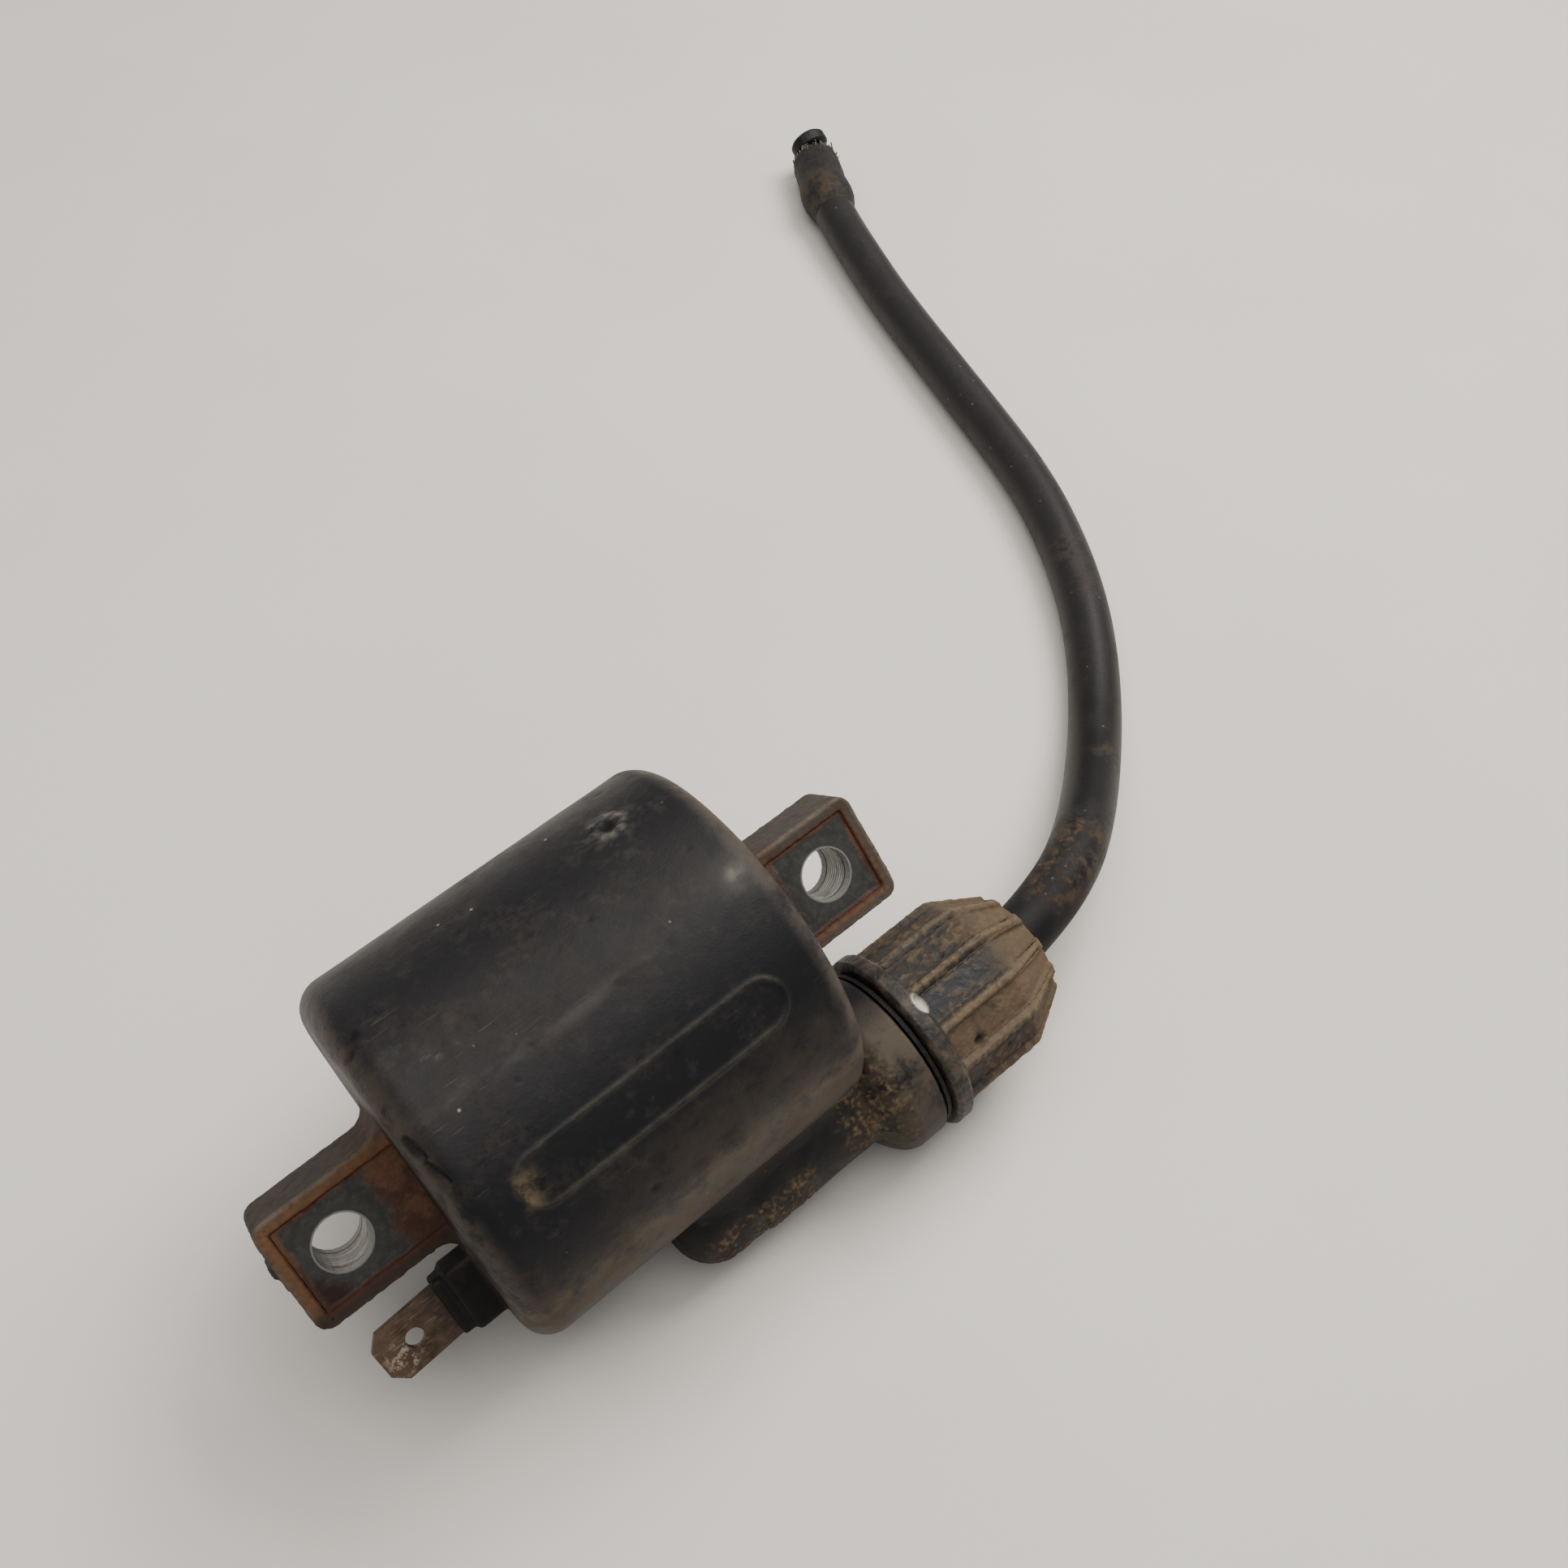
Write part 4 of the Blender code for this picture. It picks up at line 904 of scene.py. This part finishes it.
def make_case():
    """The moulded case, with its blank panel, its knocks and the dirt on it."""
    fillers = (
        solid_round(*CASE_FILLER, CORE_CENTRE),
        solid_round(*TOWER_FILLER, TOWER_PLACE),
        *(solid_block(*nub) for nub in NUBS),
    )
    case = fine_copy("case", "case_moulding", voxel=0.23, passes=6, extras=fillers)
    points, normals = read(case, CORE_CENTRE, COIL_TURN)
    x, y, z = points.T
    low, high = BODY_Z
    on_body = snapped(points, 0.0, body_radius(z), low + 0.4, high - 0.4, 0.12)
    snapped(points, -TOWER_OFFSET, TOWER_RADIUS, *TOWER_SPAN, 0.1)
    snapped(points, -TOWER_OFFSET, COLLAR_RADIUS, *COLLAR_SPAN, 0.1)
    angle = np.degrees(np.arctan2(y, x))
    push = 0.035 * roughness_of(points, 9.0, 2) + 0.012 * roughness_of(points, 1.6, 3, 5.0)

    # The blank oval panel, and a faint seam left by the mould
    across = np.radians(angle - OVAL_ANGLE) * BODY_RADIUS[0]
    beyond = np.maximum(np.abs(z - OVAL_Z) - OVAL_HALF_LENGTH, 0.0)
    edge = np.hypot(across, beyond) - OVAL_RADIUS
    panel = -0.05 * (1.0 - step(edge, -0.3, 0.0)) + 0.2 * hill(edge, 0.3)
    seam = 0.06 * hill(np.radians(angle - SEAM_ANGLE) * BODY_RADIUS[0], 0.3) * step(-z, -12.0, 2.0)
    push += np.where(on_body, panel + seam, 0.0)

    # Knocks, mud, and rust scale on the lugs
    pock = np.hypot(*from_mark(angle, z, POCK))
    knock = knock_depths(points, angle, z, pock)
    push += np.where(on_body, knock, 0.0)
    mud, film = dried_mud(points, x, y, z)
    push += mud * 0.55
    on_lug = step(np.abs(z), 22.6, 24.0) * (np.abs(x) < 7.2) * (np.abs(y) < 4.4)
    push += on_lug * 0.05 * roughness_of(points, 0.7, 3, 21.0)
    mark(case, "mud", 2.6 * mud + 0.35 * film)
    # How deep each knock is, kept so that the material paints shade into it
    mark(case, "knock", np.where(on_body, np.clip(-5.0 * knock, 0.0, 1.0), 0.0))
    mark(case, "panel_edge", np.where(on_body, hill(edge, 0.4), 0.0))
    # Pale scuffs, and a painted highlight on the rim, kept for the material
    mark(case, "scuff_and_highlight", np.where(on_body, scuff_and_highlight_shares(points, angle, z, pock), 0.0))
    points += normals * push[:, None]

    # The frames in the lugs meet the steel
    on_lug = (np.abs(z) > 22.4) & (np.abs(y) < 4.6) & (np.abs(x) < 5.9)
    beside = on_lug & (np.abs(z) < 37.5)
    at_side = 1.0 - step(np.abs(np.abs(x) - LUG_INNER_X), 0.12, 0.4)
    points[:, 0] -= np.sign(x) * beside * LUG_GAP * at_side
    at_end = 1.0 - step(np.abs(np.abs(z) - LUG_INNER_Z), 0.12, 0.4)
    points[:, 2] -= np.sign(z) * on_lug * LUG_GAP * at_end
    write(case, points, CORE_CENTRE, COIL_TURN)
    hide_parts("case")
    return finished(case, "coil", aged_moulding())


def make_cap():
    """The screw cap, with thin ribs, dirt between them, pits and a chipped flange."""
    cap = fine_copy("screw_cap", "cap_moulding", voxel=0.2, passes=3)
    points, normals = read(cap, TOWER_PLACE, COIL_TURN)
    snapped(points, 0.0, CAP_PANEL_RADIUS, *CAP_PANEL_SPAN, 0.08)
    snapped(points, 0.0, CAP_FLANGE_RADIUS, *CAP_FLANGE_SPAN, 0.14)
    x, y, z = points.T
    angle = np.degrees(np.arctan2(y, x))
    outside = step(np.hypot(x, y), *CAP_OUTSIDE)
    sector = np.abs((angle / 360 * CAP_RIBS - CAP_RIB_TURN + 0.5) % 1.0 - 0.5)
    beside_rib = hill(sector * 2 * np.pi * 10.2 / CAP_RIBS - 1.15, 0.5)

    # Dirt on the panels, beside the ribs and in the corner above the flange
    mud = np.clip(roughness_of(points, 0.8, 4, 3.0), -0.35, 0.6)
    push = 0.05 * roughness_of(points, 5.0, 2, 4.0) + mud * (0.07 + 0.05 * step(z, 34.0, 41.0))
    push += 0.07 * beside_rib * step(z, 31.8, 34.0) * step(-z, -45.5, -43.0)
    push += 0.12 * hill(z - 32.1, 0.5) * step(roughness_of(points, 2.0, 2, 8.0), -0.1, 0.4)
    pits = np.zeros(len(points))
    for angle_at, z_at, radius, depth in CAP_PITS:
        pit = hill(np.hypot(np.radians(angle - angle_at) * CAP_PANEL_RADIUS, (z - z_at) * 0.8), radius)
        pits = np.maximum(pits, pit)
        push -= depth * pit
    around = np.radians(angle - CHIP_ANGLE) * CHIP_RADIUS
    chip = np.hypot(around / CHIP_HALF_SIZE[0], (z - CHIP_Z) / CHIP_HALF_SIZE[1])
    push -= 0.4 * (1.0 - step(chip, 0.8, 1.0))
    mark(cap, "mud", np.clip(mud + 0.35, 0.0, 1.0))
    mark(cap, "rib", step(-sector, -0.12, -0.03) * (z > 31.9))
    # Where the pits are, kept so that the material paints shade into them
    mark(cap, "pit", np.clip(1.6 * pits - 0.3, 0.0, 1.0))
    mark(cap, "chip", 1.0 - step(chip, 0.85, 1.05))
    points += normals * (push * outside)[:, None]

    # The ribs are thin on top and run down into the panels
    taper = np.clip((z - CAP_SHOULDER_Z) / (CAP_Z_FRONT - CAP_SHOULDER_Z), 0.0, 1.0)
    panel = CAP_PANEL_RADIUS - CAP_CONE_DROP * taper
    ridge = CAP_RIB_RADIUS - CAP_PANEL_RADIUS
    was = panel + ridge * step(-sector, *CAP_FLANK_WAS)
    now = panel - 0.06 + (ridge + 0.1) * step(-sector, *CAP_FLANK)
    reach = np.hypot(x, y)
    change = (now - was) * step(z, 31.9, 32.7) * step(-z, -49.3, -48.6) * (reach > panel - 0.5)
    points[:, :2] *= (1.0 + change / np.maximum(reach, 1.0))[:, None]
    write(cap, points, TOWER_PLACE, COIL_TURN)
    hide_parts("screw_cap")
    return finished(cap, "cap", dirty_cap())


def make_tab():
    """The blade, with its stamped edges broken."""
    bm = bmesh.new()
    bm.from_mesh(frame["nodes"]["terminal_tab"].data)
    bmesh.ops.remove_doubles(bm, verts=bm.verts, dist=0.001 * MM)
    bmesh.ops.dissolve_limit(bm, angle_limit=math.radians(1), verts=bm.verts, edges=bm.edges)
    tab = placed("blade", mesh_from(bm, "blade"))
    soften = tab.modifiers.new("Edges", "BEVEL")
    soften.width = BLADE_EDGE * MM
    soften.segments = 3
    soften.limit_method = "ANGLE"
    soften.angle_limit = math.radians(40)
    settled(tab)
    tab.data.set_sharp_from_angle(angle=math.radians(30))
    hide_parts("terminal_tab")
    return finished(tab, "coil", tarnished_brass())


def lead_route():
    """Points every few millimetres along a smooth curve through the lead's route, in millimetres."""
    start = [TOWER_PLACE + COIL_TURN @ Vector((0, 0, z)) for z in LEAD_STRAIGHT_Z]
    points = [*start, *(Vector(point) for point in LEAD_ROUTE)]
    knots = [2 * points[0] - points[1], *points, 2 * points[-1] - points[-2]]
    fine = []
    for before, first, second, after in zip(knots, knots[1:], knots[2:], knots[3:]):
        count = max(1, round((second - first).length / LEAD_SPACING))
        for index in range(count):
            t = index / count
            bend = (2 * before - 5 * first + 4 * second - after) * t * t
            twist = (3 * first - before - 3 * second + after) * t * t * t
            fine.append(0.5 * (2 * first + (second - before) * t + bend + twist))
    fine.append(points[-1])
    free, held = fine[:-IN_SLEEVE], fine[-IN_SLEEVE:]
    for _ in range(SMOOTHING):
        inner = [(a + 2 * b + c) / 4 for a, b, c in zip(free, free[1:], free[2:])]
        free = [free[0], *inner, free[-1]]
    return [*free, *held]


def tube(name, radius, smoothness):
    """An empty curve with a round, capped section."""
    curve = bpy.data.curves.new(name, "CURVE")
    curve.dimensions = "3D"
    curve.bevel_depth = radius * MM
    curve.bevel_resolution = smoothness
    curve.use_fill_caps = True
    return curve


def make_lead(plug, strands):
    """The lead as one cord, from the contact to its free end. The plug and strands that it is given are not
    used.
    """
    route = lead_route()
    curve = tube("lead", LEAD_RADIUS, 12)
    spline = curve.splines.new("POLY")
    spline.points.add(len(route) - 1)
    for point, place in zip(spline.points, route):
        point.co = (*(place * MM), 1.0)
    spline.use_smooth = True
    lead = placed("lead", curve)
    finished(lead, "coil", lead_rubber())
    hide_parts("ht_lead")


def end_frame():
    """The lead's end: its place, and the turn of the frame there whose Z runs out of the lead."""
    out = (Vector(LEAD_ROUTE[-1]) - Vector(LEAD_ROUTE[-2])).normalized()
    return Vector(LEAD_ROUTE[-1]), out.to_track_quat("Z", "Y").to_matrix()


def make_sleeve():
    """The old sleeve on the lead's end, torn at its rim and a little swollen."""
    place, turn = end_frame()
    sleeve = fine_copy("lead_end_sleeve", "end_sleeve", voxel=0.14, passes=3)
    points, normals = read(sleeve, place, turn)
    x, y, z = points.T
    angle = np.arctan2(y, x)
    outside = step(np.hypot(x, y), *SLEEVE_OUTSIDE)
    push = 0.06 * roughness_of(points, 2.5, 3, 2.0) + 0.05 * np.sin(9 * angle + 0.4 * z) * step(z, -9.0, -2.0)
    push += 0.5 * step(x, 0.0, 4.5) * hill(z + 11.5, 3.5) - 0.25 * step(-x, 0.0, 4.0) * hill(z + 9.0, 3.0)
    around = np.stack([np.cos(angle), np.sin(angle), 0 * angle], 1)
    ragged = roughness_of(around * 4.0, 1.1, 3, 6.0)
    points += normals * (push * outside)[:, None]
    points[:, 2] -= step(z, -4.0, -1.0) * (0.35 + 0.75 * ragged)
    reach = np.hypot(points[:, 0], points[:, 1])
    depth, low, high = SLEEVE_TAPER
    points[:, :2] *= (1.0 - depth * (1.0 - step(z, low, high)) / reach)[:, None]
    write(sleeve, points, place, turn)
    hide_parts("lead_end_sleeve")
    return finished(sleeve, "coil", perished_rubber())


def make_plug():
    """The rubber plug in the sleeve's mouth, a little uneven."""
    plug = fine_copy("lead_end_plug", "end_plug", voxel=0.11, passes=4)
    points, normals = read(plug)
    points += normals * (0.03 * roughness_of(points, 1.2, 3))[:, None]
    write(plug, points)
    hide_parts("lead_end_plug")
    rubber = worn("black_plug_rubber", (9, 10, 11), (24, 25, 26), 0.5, 0.6, 0.04, specular=0.25)
    return finished(plug, "coil", rubber)


def make_strands():
    """Frayed braid that shows between the sleeve's rim and the plug."""
    place, turn = end_frame()
    draw = np.random.default_rng(SEED + 1)
    curve = tube("frayed_braid", STRAND_RADIUS, 2)
    for index in range(STRANDS):
        angle = 2 * math.pi * index / STRANDS + draw.uniform(-0.08, 0.08)
        loose = max(0.0, -math.cos(angle - 0.5))
        reach = draw.uniform(0.7, 1.5) + 0.6 * loose
        radius = draw.uniform(3.9, 4.15)
        flare = draw.uniform(-0.6, 0.1) + draw.uniform(0.4, 1.3) * loose
        lean = draw.uniform(-0.25, 0.25)
        spline = curve.splines.new("POLY")
        spline.points.add(STRAND_STEPS)
        for step_index, point in enumerate(spline.points):
            t = step_index / STRAND_STEPS
            at = angle + lean * t
            out = radius + flare * t * t
            height = STRAND_START + (reach - STRAND_START) * t
            spot = place + turn @ Vector((out * math.cos(at), out * math.sin(at), height))
            point.co = (*(spot * MM), 1.0)
            point.radius = 1.0 - 0.5 * t
    fibre = worn("frayed_braid", (44, 39, 34), (112, 102, 90), 0.85, 0.5, 0.05, specular=0.15)
    return finished(placed("frayed_braid", curve), "coil", fibre)


def give(nodes, material):
    """A CAD part that already has the right shape gets its real surface."""
    for node in nodes:
        mesh = frame["nodes"][node].data
        mesh.materials.clear()
        mesh.materials.append(material)


def dress_cad_parts():
    """Real surfaces for the steel, the bushes and everything inside the case."""
    nylon = worn("natural_nylon", (168, 160, 142), (196, 190, 172), 0.4, 1.5, 0.02)
    copper = worn("copper_wire", (140, 70, 42), (212, 126, 82), 0.28, 0.8, 0.02, 0.95)
    paper = worn("varnished_paper", (150, 128, 84), (190, 168, 118), 0.45, 0.8, 0.05, stretch=(1.0, 1.0, 0.2))
    resin = worn("cast_resin", (34, 26, 22), (56, 42, 34), 0.25, 1.2, 0.03)
    brass = worn("contact_brass", (134, 104, 56), (190, 156, 92), 0.3, 0.9, 0.02, 0.9)
    rubber = worn("old_seal_rubber", (20, 19, 18), (38, 35, 31), 0.6, 0.8, 0.06, specular=0.3)
    give([f"core_sheet_{index}" for index in range(1, 6)], rusted_steel())
    give(["bush_terminal_end", "bush_cap_end", "thrust_washer"], zinc_plate())
    give(["primary_bobbin", "secondary_bobbin"], nylon)
    give(["primary_winding"], wound("copper_winding", (120, 58, 34), (204, 116, 74), 0.5, 0.9))
    give(
        [f"secondary_section_{index}" for index in range(1, 7)],
        wound("enamelled_winding", (84, 38, 22), (150, 74, 40), 0.16, 0.5),
    )
    give(["primary_wire", "earth_wire", "ht_wire"], copper)
    give(["insulation_sleeve"], paper)
    give(["potting"], resin)
    give(["ht_contact"], brass)
    give(["tower_seal", "lead_gland"], rubber)


# Stage


def floor_material():
    paint = Paint("pale_table")
    tone = paint.noise(60.0, 3.0, 0.5)
    fine = paint.noise(3.0, 4.0, 0.6, shift=3.0)
    patches = paint.ramp(tone, 0.3, 0.7)
    specks = paint.ramp(fine, 0.5, 0.8)
    paint.colour(FLOOR_COLOUR, (patches, 0.5, FLOOR_SHADE), (specks, 0.12, FLOOR_SHADE))
    return paint.finish(0.62, specular=0.25)


def make_floor():
    bm = bmesh.new()
    bmesh.ops.create_grid(bm, x_segments=1, y_segments=1, size=FLOOR_HALF_SIZE)
    floor = placed("table_top", mesh_from(bm, "table_top"))
    floor.data.materials.append(floor_material())


def add_light(name, place, target, size, power, colour):
    light = bpy.data.lights.new(name, "AREA")
    light.shape = "RECTANGLE"
    light.size, light.size_y = size
    light.energy = power
    light.color = colour
    obj = placed(name, light)
    obj.location = Vector(place) * MM
    obj.rotation_euler = (Vector(target) - Vector(place)).to_track_quat("-Z", "Y").to_euler()


def make_room():
    sky = bpy.data.worlds.new("room")
    sky.use_nodes = True
    background = sky.node_tree.nodes["Background"]
    background.inputs["Color"].default_value = (*ROOM_COLOUR, 1.0)
    background.inputs["Strength"].default_value = ROOM_LIGHT
    bpy.context.scene.world = sky


def make_camera():
    data = bpy.data.cameras.new("camera")
    data.lens = CAMERA_LENS
    data.sensor_width = CAMERA_SENSOR
    data.clip_start = 0.01
    camera = placed("camera", data)
    right = Vector(CAMERA_RIGHT)
    up = Vector(CAMERA_UP)
    turn = Matrix((right, up, right.cross(up))).transposed().to_4x4()
    camera.matrix_world = Matrix.Translation(Vector(CAMERA_PLACE) * MM) @ turn
    bpy.context.scene.camera = camera


make_floor()
for light in LIGHTS:
    add_light(*light)
make_room()
make_camera()
sleeve = make_sleeve()
make_lead(make_plug(), make_strands())
make_case()
make_cap()
make_tab()
dress_cad_parts()
